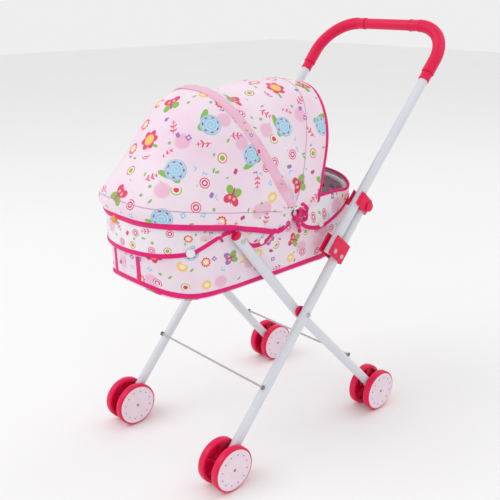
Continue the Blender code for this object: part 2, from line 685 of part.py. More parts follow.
half = head_wire_half()
other_half = [Vector((-p.x, p.y, p.z)) for p in reversed(half[:-1])]
head_wire = bar("head_rim_wire", half + other_half, RIM_WIRE_D, STEEL)
place(head_wire, head_rim)
RIM_EYE_X = BASKET_HALF_W
for side_name, side in SIDES:
    add_eye(head_wire, head_rim, Vector((side * RIM_EYE_X, RIM_PIVOT.y, RIM_PIVOT.z)), PIN_HOLE,
            margin=RIM_EYE_MARGIN, label=f"pivot_{side_name}")
    add_eye(head_wire, head_rim, Vector((side * RIM_EYE_X, HINGE_Y, HINGE_Z)), PIN_HOLE,
            label=f"hood_{side_name}")

foot_outline = [(FOOT_WIRE_X, HINGE_Y + FOOT_ARM_SHORT), (FOOT_WIRE_X, CLIP_PIVOT.y)]
foot_outline += plan_end(FOOT_WIRE_X, FOOT_ROUND_Y, FOOT_END_Y)
half = [Vector((x, y, rim_height(y))) for x, y in foot_outline]
other_half = [Vector((-p.x, p.y, p.z)) for p in reversed(half[:-1])]
foot_wire = bar("foot_rim_wire", half + other_half, RIM_WIRE_D, STEEL)
place(foot_wire, foot_rim)
for side_name, side in SIDES:
    add_eye(foot_wire, foot_rim, Vector((side * FOOT_WIRE_X, CLIP_PIVOT.y, CLIP_PIVOT.z)), PIN_HOLE,
            label=f"pivot_{side_name}")


def basket_half():
    """Columns of the right half of the basket wall, from the foot's middle to the head's middle."""
    columns = []
    top_clear = PIN_HOLE / 2 + EYE_MARGIN + GAP
    top = [(x, y) for x, y in reversed(plan_end(BASKET_HALF_W, FOOT_ROUND_Y, FOOT_END_Y + FOOT_WIRE_INSET))]
    low = [(x, y) for x, y in reversed(plan_end(FLOOR_HALF_W, FOOT_ROUND_Y, FLOOR_FOOT_Y))]
    side_steps = 6
    for i in range(1, side_steps):
        y = FOOT_ROUND_Y + (HEAD_ROUND_Y - FOOT_ROUND_Y) * i / side_steps
        top.append((BASKET_HALF_W, y))
        low.append((FLOOR_HALF_W, y))
    top += plan_end(BASKET_HALF_W, HEAD_ROUND_Y, HEAD_TIP_Y)
    low += plan_end(FLOOR_HALF_W, HEAD_ROUND_Y, FLOOR_HEAD_Y)
    for (tx, ty), (lx, ly) in zip(top, low):
        lift = smooth((HEAD_ROUND_Y - ly) / (HEAD_ROUND_Y - FLOOR_HEAD_Y))
        floor = FLOOR_Z + (FLOOR_HEAD_Z - FLOOR_Z) * lift
        rim_z = rim_height(min(ty, FOOT_END_Y)) - top_clear
        columns.append((Vector((tx, ty, rim_z)), Vector((lx, ly, floor))))
    return columns


def half_shell(name, rows, material, wall, closing=None):
    """A mirrored, solidified shell from rows of points on the right half."""
    mesh = bpy.data.meshes.new(name)
    work = bmesh.new()
    grid = [[work.verts.new(point) for point in row] for row in rows]
    for upper, lower in zip(grid, grid[1:]):
        for a, b, c, d in zip(upper, upper[1:], lower[1:], lower):
            work.faces.new((a, b, c, d))
    if closing is not None:
        last = grid[-1]
        middle = [last[0]] + [work.verts.new(point) for point in closing[1:-1]] + [last[-1]]
        for i in range(len(last) - 1):
            corners = [last[i], last[i + 1], middle[i + 1], middle[i]]
            unique = list(dict.fromkeys(corners))
            work.faces.new(unique)
    bmesh.ops.recalc_face_normals(work, faces=work.faces)
    work.to_mesh(mesh)
    work.free()
    piece = add_object(name, mesh, material)
    mirror = piece.modifiers.new("mirror", "MIRROR")
    mirror.use_clip = True
    mirror.merge_threshold = 0.00005
    shell = piece.modifiers.new("wall", "SOLIDIFY")
    shell.thickness = wall
    shell.offset = 0
    return piece


columns = basket_half()
rows = []
for share in WALL_ROWS:
    rows.append([top.lerp(low, share) for top, low in columns])
floor_middle = [Vector((0, low.y, low.z)) for top, low in columns]
basket = half_shell("basket_fabric", rows, FABRIC, FABRIC_T, closing=floor_middle)
place(basket, front_frame)
eyelet_start = Vector((-FRONT_TRACK, RIM_PIVOT.y, RIM_PIVOT.z))
eyelet_end = Vector((FRONT_TRACK, RIM_PIVOT.y, RIM_PIVOT.z))
eyelets = tool("basket_eyelets", front_frame, eyelet_start, eyelet_end,
               PIN_HOLE + 2 * (RIM_EYE_MARGIN + EYELET_CLEAR), 16)
combine(basket, eyelets, "DIFFERENCE")


# ---------------------------------------------------------------- hood

def bow_point(tilt, height, half_width, power, turn, origin=HINGE):
    """Point of an arch in a plane through the hinge axis; turn runs 0 to 180 degrees."""
    angle = math.radians(turn)
    cosine = math.cos(angle)
    across_share = math.copysign(abs(cosine) ** (2 / power), cosine)
    rise = height * math.sin(angle) ** (2 / power)
    return origin + Vector((half_width * across_share, -rise * math.sin(tilt), rise * math.cos(tilt)))


def bow(name, body, tilt, height, x_at_pin):
    """A hood bow: a wire arch with an eye at each end."""
    points = [bow_point(tilt, height, x_at_pin, BOW_POWER, 180 * i / BOW_STEPS)
              for i in range(BOW_STEPS + 1)]
    piece = bar(name, points, BOW_WIRE_D, STEEL)
    place(piece, body)
    for side_name, side in SIDES:
        add_eye(piece, body, Vector((side * x_at_pin, HINGE_Y, HINGE_Z)), PIN_HOLE, label=side_name)
    return piece


MIDDLE_BOW_X = BASKET_HALF_W + (RIM_WIRE_D + BOW_WIRE_D) / 2 + WIRE_GAP
FRONT_BOW_X = MIDDLE_BOW_X + BOW_WIRE_D + WIRE_GAP
bow("hood_middle_bow", hood_middle, MIDDLE_BOW_TILT, MIDDLE_BOW_H, MIDDLE_BOW_X)
bow("hood_front_bow", hood_front, FRONT_BOW_TILT, FRONT_BOW_H, FRONT_BOW_X)
for side_name, side in SIDES:
    pin(f"hood_pin_{side_name}", head_rim, HINGE, RIM_EYE_X - RIM_WIRE_D / 2 - GAP - PIN_HEAD_T,
        FRONT_BOW_X + BOW_WIRE_D / 2 + GAP + PIN_HEAD_T, side)

HOOD_STANDOFF = BOW_WIRE_D / 2 + FABRIC_T + GAP
HOOD_HALF_W = FRONT_BOW_X + HOOD_STANDOFF
HEAD_TILT = math.atan2(HINGE_Y - HEAD_TIP_Y, HEAD_RIM_Z - HINGE_Z)


def hood_row(tilt, reach, half_width, power):
    """Right half of one arch of the hood, from near the hinge to the middle plane."""
    row = []
    for i in range(HOOD_COLUMNS + 1):
        turn = HOOD_START_TURN + (90 - HOOD_START_TURN) * i / HOOD_COLUMNS
        point = bow_point(tilt, reach, half_width, power, turn)
        if i == HOOD_COLUMNS:
            point.x = 0
        row.append(point)
    return row


def opening_row():
    """Right half of the hood's front edge, which rises from the rim and not from the hinge."""
    row = []
    for i in range(HOOD_COLUMNS + 1):
        turn = math.radians(90 * i / HOOD_COLUMNS)
        rise = math.sin(turn) ** (2 / BOW_POWER)
        x = HOOD_HALF_W * max(math.cos(turn), 0.0) ** (2 / BOW_POWER) if i < HOOD_COLUMNS else 0
        y = OPENING_FOOT[0] + (OPENING_TOP[0] - OPENING_FOOT[0]) * rise
        z = OPENING_FOOT[1] + (OPENING_TOP[1] - OPENING_FOOT[1]) * rise
        row.append(HINGE + Vector((x, y, z)))
    return row


hood_rows = [hood_row(HEAD_TILT - HOOD_RIM_LIFT, HOOD_HEAD_REACH, HOOD_HALF_W, HOOD_HEAD_POWER),
             hood_row(HOOD_CROWN_TILT, HOOD_CROWN_REACH, HOOD_HALF_W, HOOD_CROWN_POWER),
             hood_row(MIDDLE_BOW_TILT, MIDDLE_BOW_H + HOOD_STANDOFF, HOOD_HALF_W, BOW_POWER),
             hood_row(FRONT_BOW_TILT, FRONT_BOW_H + HOOD_STANDOFF, HOOD_HALF_W, BOW_POWER),
             opening_row()]
hood = half_shell("hood_fabric", hood_rows, FABRIC, FABRIC_T)
place(hood, head_rim)
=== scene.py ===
"""A folding doll stroller, dressed: printed cloth, pink piping, ribbed grips and enamelled tubes.

Lengths are in metres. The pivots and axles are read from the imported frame, and the sizes that the
frame doesn't hold are fields of the sub-assembly that uses them. `at` gives a place in millimetres
across the stroller, behind the front axle and above the floor.
"""
import json
import logging
import math
from collections.abc import Sequence
from dataclasses import dataclass
from enum import Enum

import bpy
from mathutils import Matrix, Vector
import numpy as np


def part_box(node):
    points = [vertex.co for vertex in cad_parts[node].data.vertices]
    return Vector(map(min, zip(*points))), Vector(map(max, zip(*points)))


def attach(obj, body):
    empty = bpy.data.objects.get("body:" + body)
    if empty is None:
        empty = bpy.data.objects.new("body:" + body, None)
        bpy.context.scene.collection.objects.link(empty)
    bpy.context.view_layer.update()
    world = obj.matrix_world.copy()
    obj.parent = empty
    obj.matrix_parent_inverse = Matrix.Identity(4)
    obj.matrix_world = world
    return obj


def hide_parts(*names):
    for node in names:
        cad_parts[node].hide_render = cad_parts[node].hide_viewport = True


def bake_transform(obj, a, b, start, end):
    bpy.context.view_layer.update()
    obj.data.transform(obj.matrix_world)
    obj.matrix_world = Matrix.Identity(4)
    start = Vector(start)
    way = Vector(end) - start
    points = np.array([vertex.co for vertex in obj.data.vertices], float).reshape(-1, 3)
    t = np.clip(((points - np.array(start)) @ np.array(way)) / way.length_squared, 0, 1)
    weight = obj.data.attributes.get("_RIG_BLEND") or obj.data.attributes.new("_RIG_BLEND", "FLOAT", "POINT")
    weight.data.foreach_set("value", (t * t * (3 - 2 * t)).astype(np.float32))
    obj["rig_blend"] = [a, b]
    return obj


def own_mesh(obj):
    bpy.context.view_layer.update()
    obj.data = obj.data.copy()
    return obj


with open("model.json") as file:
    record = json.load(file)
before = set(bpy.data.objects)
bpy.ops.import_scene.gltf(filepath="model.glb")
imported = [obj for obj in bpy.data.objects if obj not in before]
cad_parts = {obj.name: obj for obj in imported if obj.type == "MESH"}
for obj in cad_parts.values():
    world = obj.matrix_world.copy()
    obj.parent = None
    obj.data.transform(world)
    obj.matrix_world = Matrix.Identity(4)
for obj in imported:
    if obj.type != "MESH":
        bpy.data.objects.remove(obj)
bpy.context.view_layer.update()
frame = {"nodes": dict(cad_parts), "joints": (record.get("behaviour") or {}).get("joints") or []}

MM = 0.001
SIDES = (("left", -1), ("right", 1))
Piece = bpy.types.Object
Line = Sequence[Vector]
Rows = Sequence[Line]
Outline = Sequence[tuple[float, float]]
log = logging.getLogger("doll_stroller")


# ------------------------------------------------------------------ places on the frame

def pivot(joint: str) -> Vector:
    """A joint's place at rest.

    Args:
        joint: the joint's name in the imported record.

    Returns:
        A point on the joint's axis, in metres.
    """
    return next(Vector(j["pos_m"]) for j in frame["joints"] if j["name"] == joint)


AXLE = pivot("front_wheel_right_spin")
REAR_AXLE = pivot("rear_wheel_right_spin")
CROSSING = pivot("frame_fold")
RIM_PIVOT = pivot("head_rim_hinge")
CLIP = pivot("foot_rim_hinge")
HINGE = pivot("hood_middle_hinge")
HANDLE_PIVOT = pivot("handle_fold")
ACROSS = Vector((1, 0, 0))
UP = Vector((0, 0, 1))
LEG_UP = Vector((0, CLIP.y - AXLE.y, CLIP.z - AXLE.z)).normalized()
LEG_FORWARD = Vector((0, -LEG_UP.z, LEG_UP.y))


def at(x: float, y: float, z: float) -> Vector:
    """A place in millimetres: across, behind the front axle, above the floor."""
    return Vector((x * MM, AXLE.y + y * MM, z * MM))


def on_leg(along: float, forward: float, x: float) -> Vector:
    """A place beside a front leg, in metres: up it from the axle, and forward of it."""
    return Vector((x, AXLE.y, AXLE.z)) + LEG_UP * along + LEG_FORWARD * forward


def smooth_line(points: Outline, value: float) -> float:
    """Read a curve that runs smoothly through a few points.

    Args:
        points: (place, height) pairs in rising order of place.
        value: where to read it; outside the points it keeps the end's height.

    Returns:
        The height there.
    """
    if value <= points[0][0]:
        return points[0][1]
    for i in range(len(points) - 1):
        (x0, y0), (x1, y1) = points[i], points[i + 1]
        if value <= x1:
            before = points[max(i - 1, 0)]
            after = points[min(i + 2, len(points) - 1)]
            slope0 = (y1 - before[1]) / (x1 - before[0])
            slope1 = (after[1] - y0) / (after[0] - x0)
            t = (value - x0) / (x1 - x0)
            width = x1 - x0
            return (y0 * (1 + 2 * t) * (1 - t) ** 2 + width * slope0 * t * (1 - t) ** 2
                    + y1 * t * t * (3 - 2 * t) + width * slope1 * t * t * (t - 1))
    return points[-1][1]


def resample(points: Line, count: int, start: float = 0.0) -> list[Vector]:
    """Spread points evenly along a line.

    Args:
        points: the line's corners.
        count: how many points to return.
        start: length to leave out at its beginning.

    Returns:
        Points at equal distances, the last one at the line's end.
    """
    lengths = [0.0]
    for a, b in zip(points, points[1:]):
        lengths.append(lengths[-1] + (b - a).length)
    found = []
    segment = 0
    for i in range(count):
        target = start + (lengths[-1] - start) * i / (count - 1)
        while segment < len(points) - 2 and lengths[segment + 1] < target:
            segment += 1
        span = max(lengths[segment + 1] - lengths[segment], 1e-9)
        found.append(points[segment].lerp(points[segment + 1],
                                          min((target - lengths[segment]) / span, 1.0)))
    return found


def catmull(before: Vector, start: Vector, end: Vector, after: Vector, t: float) -> Vector:
    """A point on the smooth curve from start to end that its two neighbours guide."""
    return 0.5 * ((2 * start) + (end - before) * t
                  + (2 * before - 5 * start + 4 * end - after) * t ** 2
                  + (3 * start - before - 3 * end + after) * t ** 3)


# ------------------------------------------------------------------ shader graphs

class Wire:
    """A socket of a shader graph that adds Math nodes when it is used in arithmetic."""

    def __init__(self, graph: "Graph", socket: bpy.types.NodeSocket) -> None:
        """Wrap a socket of a graph."""
        self.graph = graph
        self.socket = socket

    def _math(self, operation: str, *others: "Wire | float") -> "Wire":
        """A Math node of this socket and others."""
        inputs = {i + 1: other for i, other in enumerate(others)}
        return self.graph.node("ShaderNodeMath", {"operation": operation}, {0: self, **inputs})[0]

    def __add__(self, other: "Wire | float") -> "Wire":
        """This plus another."""
        return self._math("ADD", other)

    __radd__ = __add__

    def __sub__(self, other: "Wire | float") -> "Wire":
        """This minus another."""
        return self._math("SUBTRACT", other)

    def __rsub__(self, other: float) -> "Wire":
        """A number minus this."""
        return self._math("MULTIPLY", -1.0)._math("ADD", other)

    def __mul__(self, other: "Wire | float") -> "Wire":
        """This times another."""
        return self._math("MULTIPLY", other)

    __rmul__ = __mul__

    def __truediv__(self, other: "Wire | float") -> "Wire":
        """This divided by another."""
        return self._math("DIVIDE", other)

    def __gt__(self, other: "Wire | float") -> "Wire":
        """1 where this is greater."""
        return self._math("GREATER_THAN", other)

    def __lt__(self, other: "Wire | float") -> "Wire":
        """1 where this is less."""
        return self._math("LESS_THAN", other)

    def cos(self) -> "Wire":
        """Cosine, in radians."""
        return self._math("COSINE")

    def sin(self) -> "Wire":
        """Sine, in radians."""
        return self._math("SINE")

    def abs(self) -> "Wire":
        """Absolute value."""
        return self._math("ABSOLUTE")

    def angle(self, x: "Wire") -> "Wire":
        """Angle of the point (x, this)."""
        return self._math("ARCTAN2", x)

    def length(self, other: "Wire") -> "Wire":
        """Length of the vector (this, other)."""
        return (self * self + other * other)._math("SQRT")

    def ramp(self, low: float, high: float) -> "Wire":
        """0 below low, 1 above high, smooth between."""
        settings = {"interpolation_type": "SMOOTHSTEP"}
        return self.graph.node("ShaderNodeMapRange", settings,
                               {"Value": self, "From Min": low, "From Max": high})[0]


class Graph:
    """The node tree of one material."""

    def __init__(self, name: str) -> None:
        """Start a material with an empty Principled shader."""
        self.material = bpy.data.materials.new(name)
        self.material.use_nodes = True
        self.tree = self.material.node_tree
        self.shader = self.tree.nodes["Principled BSDF"]

    def node(self, kind: str, settings: dict, sockets: dict) -> list[Wire]:
        """Add a node.

        Args:
            kind: the node's type.
            settings: its own settings, set first; "stops" holds a ramp's (position, colour) pairs.
            sockets: values or links, by socket name or number.

        Returns:
            Its outputs.
        """
        made = self.tree.nodes.new(kind)
        for key, value in settings.items():
            if key == "stops":
                self.stops(made, value)
            else:
                setattr(made, key, value)
        for key, value in sockets.items():
            self.link(made.inputs[key], value)
        return [Wire(self, output) for output in made.outputs]

    def stops(self, ramp: bpy.types.Node, stops: Sequence[tuple[float, tuple]]) -> None:
        """Give a ramp its colours."""
        elements = ramp.color_ramp.elements
        while len(elements) < len(stops):
            elements.new(1.0)
        for element, (place, color) in zip(elements, stops):
            element.position = place
            element.color = (*color, 1.0)

    def link(self, socket: bpy.types.NodeSocket, value: "Wire | float | tuple") -> None:
        """Link or set one input."""
        if isinstance(value, Wire):
            self.tree.links.new(value.socket, socket)
        elif isinstance(value, tuple) and len(value) == 3 and socket.type == "RGBA":
            socket.default_value = (*value, 1.0)
        else:
            socket.default_value = value

    def mix(self, first: "Wire | tuple", second: "Wire | tuple", share: "Wire | float") -> Wire:
        """Blend two colours."""
        made = self.tree.nodes.new("ShaderNodeMix")
        made.data_type = "RGBA"
        self.link(made.inputs[0], share)
        self.link(made.inputs[6], first)
        self.link(made.inputs[7], second)
        return Wire(self, made.outputs[2])

    def paint(self, color: "Wire | tuple", coats: Sequence[tuple]) -> "Wire | tuple":
        """Lay coats of (colour, share) over a colour, the first one lowest."""
        for coat, share in coats:
            color = self.mix(color, coat, share)
        return color

    def place(self, source: str) -> Wire:
        """Coordinates: Object or UV."""
        outputs = self.node("ShaderNodeTexCoord", {}, {})
        return outputs[{"Object": 3, "UV": 2}[source]]

    def noise(self, where: Wire, scale: float, detail: float = 3.0) -> Wire:
        """Noise from 0 to 1."""
        return self.node("ShaderNodeTexNoise", {},
                         {"Vector": where, "Scale": scale, "Detail": detail})[0]

    def bump(self, height: Wire, strength: float, depth: float) -> None:
        """Give the shader a bumped surface; depth is in metres."""
        normal = self.node("ShaderNodeBump", {},
                           {"Height": height, "Strength": strength, "Distance": depth})
        self.link(self.shader.inputs["Normal"], normal[0])

    def set(self, **values: "Wire | float | tuple") -> None:
        """Set the shader's inputs; an underscore stands for a space in a name."""
        for key, value in values.items():
            self.link(self.shader.inputs[key.replace("_", " ")], value)


class Pink(Enum):
    """The pinks of the moulded and sewn trims."""

    MOULDED = (0.82, 0.002, 0.075)
    BINDING = (0.82, 0.010, 0.190)
    RIBBON = (0.82, 0.016, 0.200)


@dataclass(frozen=True)
class Enamel:
    """Baked white enamel on steel tube, coloured grey-lilac as painted shade."""

    name: str = "white_enamel_painted_shade"
    # grey-lilac instead of white: painted shade laid over the whole white tube
    color: tuple = (0.70, 0.715, 0.77)
    roughness: float = 0.26

    def build(self) -> bpy.types.Material:
        """Make the material: slight orange peel, dull patches and faint grey scuffs."""
        graph = Graph(self.name)
        where = graph.place("Object")
        patches = graph.noise(where, 28.0)
        scuffs = graph.noise(where, 210.0, 5.0).ramp(0.66, 0.74)
        grey = tuple(c * 0.80 for c in self.color)
        tone = graph.mix(self.color, tuple(c * 0.95 for c in self.color), patches)
        graph.set(Base_Color=graph.mix(tone, grey, scuffs * 0.35),
                  Roughness=patches * 0.12 + scuffs * 0.15 + (self.roughness - 0.05),
                  Coat_Weight=0.35, Coat_Roughness=0.12)
        graph.bump(graph.noise(where, 900.0, 1.0), 0.12, 0.0004)
        return graph.material


@dataclass(frozen=True)
class Moulded:
    """Injection moulded plastic."""

    name: str
    color: tuple
    roughness: float
    grain: float = 0.15

    def build(self) -> bpy.types.Material:
        """Make the material: flow marks, a fine grain and rubbed spots."""
        graph = Graph(self.name)
        where = graph.place("Object")
        flow = graph.noise(where, 45.0, 2.0)
        rubbed = graph.noise(where, 160.0, 4.0).ramp(0.62, 0.78)
        graph.set(Base_Color=graph.mix(self.color, tuple(c * 0.88 for c in self.color), flow),
                  Roughness=flow * 0.10 + rubbed * 0.12 + (self.roughness - 0.05),
                  Specular_IOR_Level=0.32)
        graph.bump(graph.noise(where, 1400.0, 2.0), self.grain, 0.0003)
        return graph.material


@dataclass(frozen=True)
class Plated:
    """Zinc plated steel."""

    name: str = "zinc_plate"
    color: tuple = (0.60, 0.60, 0.61)
    roughness: float = 0.30

    def build(self) -> bpy.types.Material:
        """Make the material: cloudy plating with fine scratches."""
        graph = Graph(self.name)
        where = graph.place("Object")
        cloud = graph.noise(where, 120.0, 4.0)
        graph.set(Base_Color=graph.mix(self.color, tuple(c * 0.72 for c in self.color), cloud),
                  Roughness=cloud * 0.25 + (self.roughness - 0.1), Metallic=1.0)
        graph.bump(graph.noise(where, 1500.0, 2.0), 0.15, 0.0002)
        return graph.material


def weave(graph: Graph, where: Wire, pitch: float) -> Wire:
    """Height of a plain weave.

    Args:
        graph: the material's graph.
        where: coordinates in metres.
        pitch: distance between two threads.

    Returns:
        0 between the threads to 1 on top of them.
    """
    x, y, _ = graph.node("ShaderNodeSeparateXYZ", {}, {0: where})
    turn = math.tau / pitch
    warp = (x * turn).sin()
    weft = (y * turn).sin()
    over = (x * (turn / 2)).sin() * (y * (turn / 2)).sin()
    return warp.abs() * 0.35 + weft.abs() * 0.35 + over * 0.3


@dataclass(frozen=True)
class Binding:
    """Dyed woven tape and piping in one colour."""

    name: str
    color: tuple
    pitch: float = 1.1 * MM

    def build(self) -> bpy.types.Material:
        """Make the material: twill ribs, a slightly uneven dye and a soft sheen."""
        graph = Graph(self.name)
        where = graph.place("Object")
        x, y, z = graph.node("ShaderNodeSeparateXYZ", {}, {0: where})
        turn = math.tau / self.pitch
        ribs = ((x + y * 0.8 + z * 1.3) * turn).sin() * 0.5 + 0.5
        dye = graph.noise(where, 60.0, 4.0)
        deep = tuple(c * 0.82 for c in self.color)
        tone = graph.mix(self.color, deep, dye.ramp(0.35, 0.75) * 0.7)
        graph.set(Base_Color=graph.mix(tone, deep, ribs * 0.25), Roughness=dye * 0.15 + 0.62,
                  Sheen_Weight=0.15, Sheen_Roughness=0.4, Specular_IOR_Level=0.3)
        graph.bump(ribs + dye * 0.8, 0.35, 0.0003)
        return graph.material


@dataclass(frozen=True)
class Dyes:
    """The colours of the nursery print, and the painted shade between the threads."""

    rose: tuple = (0.80, 0.025, 0.14)
    berry: tuple = (0.60, 0.03, 0.22)
    leaf: tuple = (0.24, 0.52, 0.07)
    sky: tuple = (0.34, 0.64, 0.83)
    plum: tuple = (0.38, 0.16, 0.52)
    sun: tuple = (0.95, 0.60, 0.12)
    cream: tuple = (0.97, 0.86, 0.62)
    white: tuple = (0.93, 0.88, 0.91)
    swirl: tuple = (0.62, 0.82, 0.92)
    cloud: tuple = (0.86, 0.38, 0.56)
    # painted shade for the recesses between the threads, not a print colour
    gap: tuple = (0.52, 0.36, 0.46)


@dataclass
class Motif:
    """One layer of scattered motifs; lengths are shares of a cell.

    Attributes:
        r: distance from the motif's middle.
        x: place across the motif.
        y: place along the motif.
        angle: direction from its middle.
        kind: a random number that chooses the shape.
        tint: a random number that chooses a colour.
    """

    r: Wire
    x: Wire
    y: Wire
    angle: Wire
    kind: Wire
    tint: Wire

    def between(self, low: float, high: float) -> Wire:
        """1 where the kind is between two numbers."""
        return (self.kind > low) * (self.kind < high)

    def blob(self, x: float, y: float, wide: float, tall: float) -> Wire:
        """1 inside an ellipse."""
        return ((self.x - x) / wide).length((self.y - y) / tall) < 1.0


@dataclass(frozen=True)
class PrintedCloth:
    """Thin woven polyester with a scattered nursery print; its UV map is in metres."""

    name: str
    ground: tuple
    blush: tuple
    large_pitch: float = 66 * MM
    middle_pitch: float = 33 * MM
    small_pitch: float = 14.5 * MM
    blush_pitch: float = 50 * MM
    large_share: float = 0.84
    dyes: Dyes = Dyes()

    def layer(self, graph: Graph, where: Wire, pitch: float, shift: float, loose: float) -> Motif:
        """Scatter one layer of motifs.

        Args:
            graph: the material's graph.
            where: UV coordinates in metres.
            pitch: size of a cell.
            shift: moves this layer off the others.
            loose: how far the motifs stray from a grid, 0 to 1.

        Returns:
            The layer.
        """
        scaled = graph.node("ShaderNodeMapping", {},
                            {0: where, "Location": (shift, shift * 0.7, 0.0),
                                                      "Scale": (1 / pitch, 1 / pitch, 1.0)})[0]
        voronoi = graph.node("ShaderNodeTexVoronoi", {"voronoi_dimensions": "2D"},
                             {"Vector": scaled, "Scale": 1.0, "Randomness": loose})
        offset = graph.node("ShaderNodeVectorMath", {"operation": "SUBTRACT"},
                            {0: scaled, 1: voronoi[2]})[0]
        x, y, _ = graph.node("ShaderNodeSeparateXYZ", {}, {0: offset})
        kind, tint, spin = graph.node("ShaderNodeSeparateColor", {}, {0: voronoi[1]})
        r = x.length(y)
        angle = y.angle(x) + spin * math.tau
        return Motif(r, angle.cos() * r, angle.sin() * r, angle, kind, tint)

    def palette(self, graph: Graph, motif: Motif, *colors: tuple) -> Wire:
        """One of a few flat colours, by a motif's tint."""
        stops = [(i / len(colors), color) for i, color in enumerate(colors)]
        ramp = graph.tree.nodes.new("ShaderNodeValToRGB")
        ramp.color_ramp.interpolation = "CONSTANT"
        graph.stops(ramp, stops)
        graph.link(ramp.inputs[0], motif.tint)
        return Wire(graph, ramp.outputs[0])

    def large(self, graph: Graph, color: Wire, motif: Motif) -> Wire:
        """Spiral discs with a leaf, two-coloured butterflies and big flowers."""
        dyes, share = self.dyes, self.large_share
        disc = motif.between(0.0, share * 0.36)
        curl = (motif.r * 105.0 + motif.angle).sin() > 0.72
        beads = ((motif.angle * 7.0).cos() > 0.3) * (motif.r < 0.165) * (motif.r > 0.135)
        wing = motif.between(share * 0.36, share * 0.72)
        span = motif.r / ((motif.angle * 2.0).sin().abs() * 0.62 + 0.42)
        wings = graph.mix(self.palette(graph, motif, dyes.rose, dyes.plum, dyes.rose), dyes.leaf,
                          motif.y < -0.02)
        bloom = motif.between(share * 0.72, share)
        petal = motif.r / ((motif.angle * 3.0).cos().abs() * 0.34 + 0.72)
        petals = self.palette(graph, motif, dyes.plum, dyes.rose)
        return graph.paint(color, (
            (dyes.leaf, disc * motif.blob(0.12, -0.155, 0.17, 0.062)),
            (dyes.leaf, disc * motif.blob(-0.10, -0.16, 0.075, 0.06)),
            (dyes.sky, disc * (motif.r < 0.205)),
            (dyes.swirl, disc * (motif.r < 0.19) * curl),
            (dyes.berry, disc * beads),
            (wings, wing * (span < 0.215)),
            (dyes.sun, wing * (span < 0.10) * (motif.y > 0.02)),
            (dyes.berry, wing * motif.blob(0.0, 0.0, 0.026, 0.17)),
            (petals, bloom * (petal < 0.20)),
            (dyes.sun, bloom * (motif.r < 0.115)),
            (dyes.leaf, bloom * motif.blob(0.05, -0.24, 0.032, 0.075))))

    def middle(self, graph: Graph, color: Wire, motif: Motif, free: Wire) -> Wire:
        """Target rings, scalloped flowers, double rings and sprigs."""
        dyes = self.dyes
        target = motif.between(0.0, 0.27) * free
        sunny = motif.between(0.27, 0.46) * free
        edge = motif.r / ((motif.angle * 11.0).cos() * 0.10 + 1.0)
        double = motif.between(0.46, 0.60) * free
        sprig = motif.between(0.60, 0.76) * free
        side = motif.x.abs()
        leaves = ((motif.y * 34.0 - side * 22.0).cos() > 0.35) * (side < 0.135) * (side > 0.02)
        stem = (side < 0.014) + leaves * (motif.y.abs() < 0.22)
        return graph.paint(color, (
            (dyes.rose, target * (motif.r < 0.205)),
            (dyes.white, target * (motif.r < 0.165)),
            (self.palette(graph, motif, dyes.rose, dyes.berry), target * (motif.r < 0.125)),
            (dyes.white, target * (motif.r < 0.062)),
            (self.palette(graph, motif, dyes.rose, dyes.sun, dyes.rose), sunny * (edge < 0.235)),
            (dyes.cream, sunny * (motif.r < 0.165)),
            (dyes.sun, sunny * (motif.r < 0.155) * (motif.r > 0.115)),
            (self.palette(graph, motif, dyes.rose, dyes.leaf), double * (motif.r < 0.20)),
            (dyes.cream, double * (motif.r < 0.165)),
            (self.palette(graph, motif, dyes.leaf, dyes.rose), double * (motif.r < 0.10)),
            (dyes.rose, sprig * (stem > 0.5) * (motif.y.abs() < 0.30))))

    def small(self, graph: Graph, color: Wire, motif: Motif, free: Wire) -> Wire:
        """Leaves, hearts, dots and little flowers."""
        dyes = self.dyes
        leaf = motif.between(0.0, 0.17) * motif.blob(0.0, 0.0, 0.10, 0.23)
        lobes = (motif.angle.cos().abs() * 0.55 + motif.angle.sin() * -0.30 + 0.75) * 0.20
        heart = motif.between(0.17, 0.25) * (motif.r < lobes)
        dot = motif.between(0.25, 0.33) * (motif.r < 0.15)
        bud = motif.r / ((motif.angle * 2.0).cos().abs() * 0.5 + 0.6)
        bloom = motif.between(0.33, 0.43) * (bud < 0.26)
        return graph.paint(color, (
            (dyes.leaf, (leaf + dot) * free),
            (self.palette(graph, motif, dyes.rose, dyes.berry, dyes.plum), heart * free),
            (self.palette(graph, motif, dyes.sky, dyes.plum, dyes.sky), bloom * free),
            (dyes.white, bloom * (motif.r < 0.09) * free)))

    def build(self) -> bpy.types.Material:
        """Make the material: blushes, three layers of motifs, the weave with painted shade between its
        threads, and soft creases.
        """
        graph = Graph(self.name)
        where = graph.place("UV")
        soft = self.layer(graph, where, self.blush_pitch, 0.31, 0.9)
        clouds = graph.noise(where, 11.0)
        color = graph.mix(self.ground, self.blush, clouds.ramp(0.42, 0.66) * 0.45)
        color = graph.mix(color, self.dyes.cloud,
                          (1 - soft.r.ramp(0.15, 0.24)) * soft.between(0.45, 1.0) * 0.62)
        large = self.layer(graph, where, self.large_pitch, 3.7, 0.5)
        middle = self.layer(graph, where, self.middle_pitch, 5.2, 0.5)
        small = self.layer(graph, where, self.small_pitch, 8.2, 0.8)
        clear_large = 1 - (large.r < 0.34) * (large.kind < self.large_share)
        clear_middle = 1 - (middle.r < 0.31) * (middle.kind < 0.76)
        color = self.small(graph, color, small, clear_large * clear_middle)
        color = self.middle(graph, color, middle, clear_large)
        color = self.large(graph, color, large)

        cloth = weave(graph, where, 0.75 * MM)
        folds = graph.noise(where, 30.0, 4.0)
        # painted shade: the cloth is darkened between the threads of the weave
        color = graph.mix(color, self.dyes.gap, (1 - cloth) * 0.09)
        graph.set(Base_Color=color, Roughness=folds * 0.12 + cloth * -0.06 + 0.62, Sheen_Weight=0.2,
                  Sheen_Roughness=0.35)
        graph.bump(cloth * 0.10 + folds * 1.0, 0.55, 0.0028)
        return graph.material


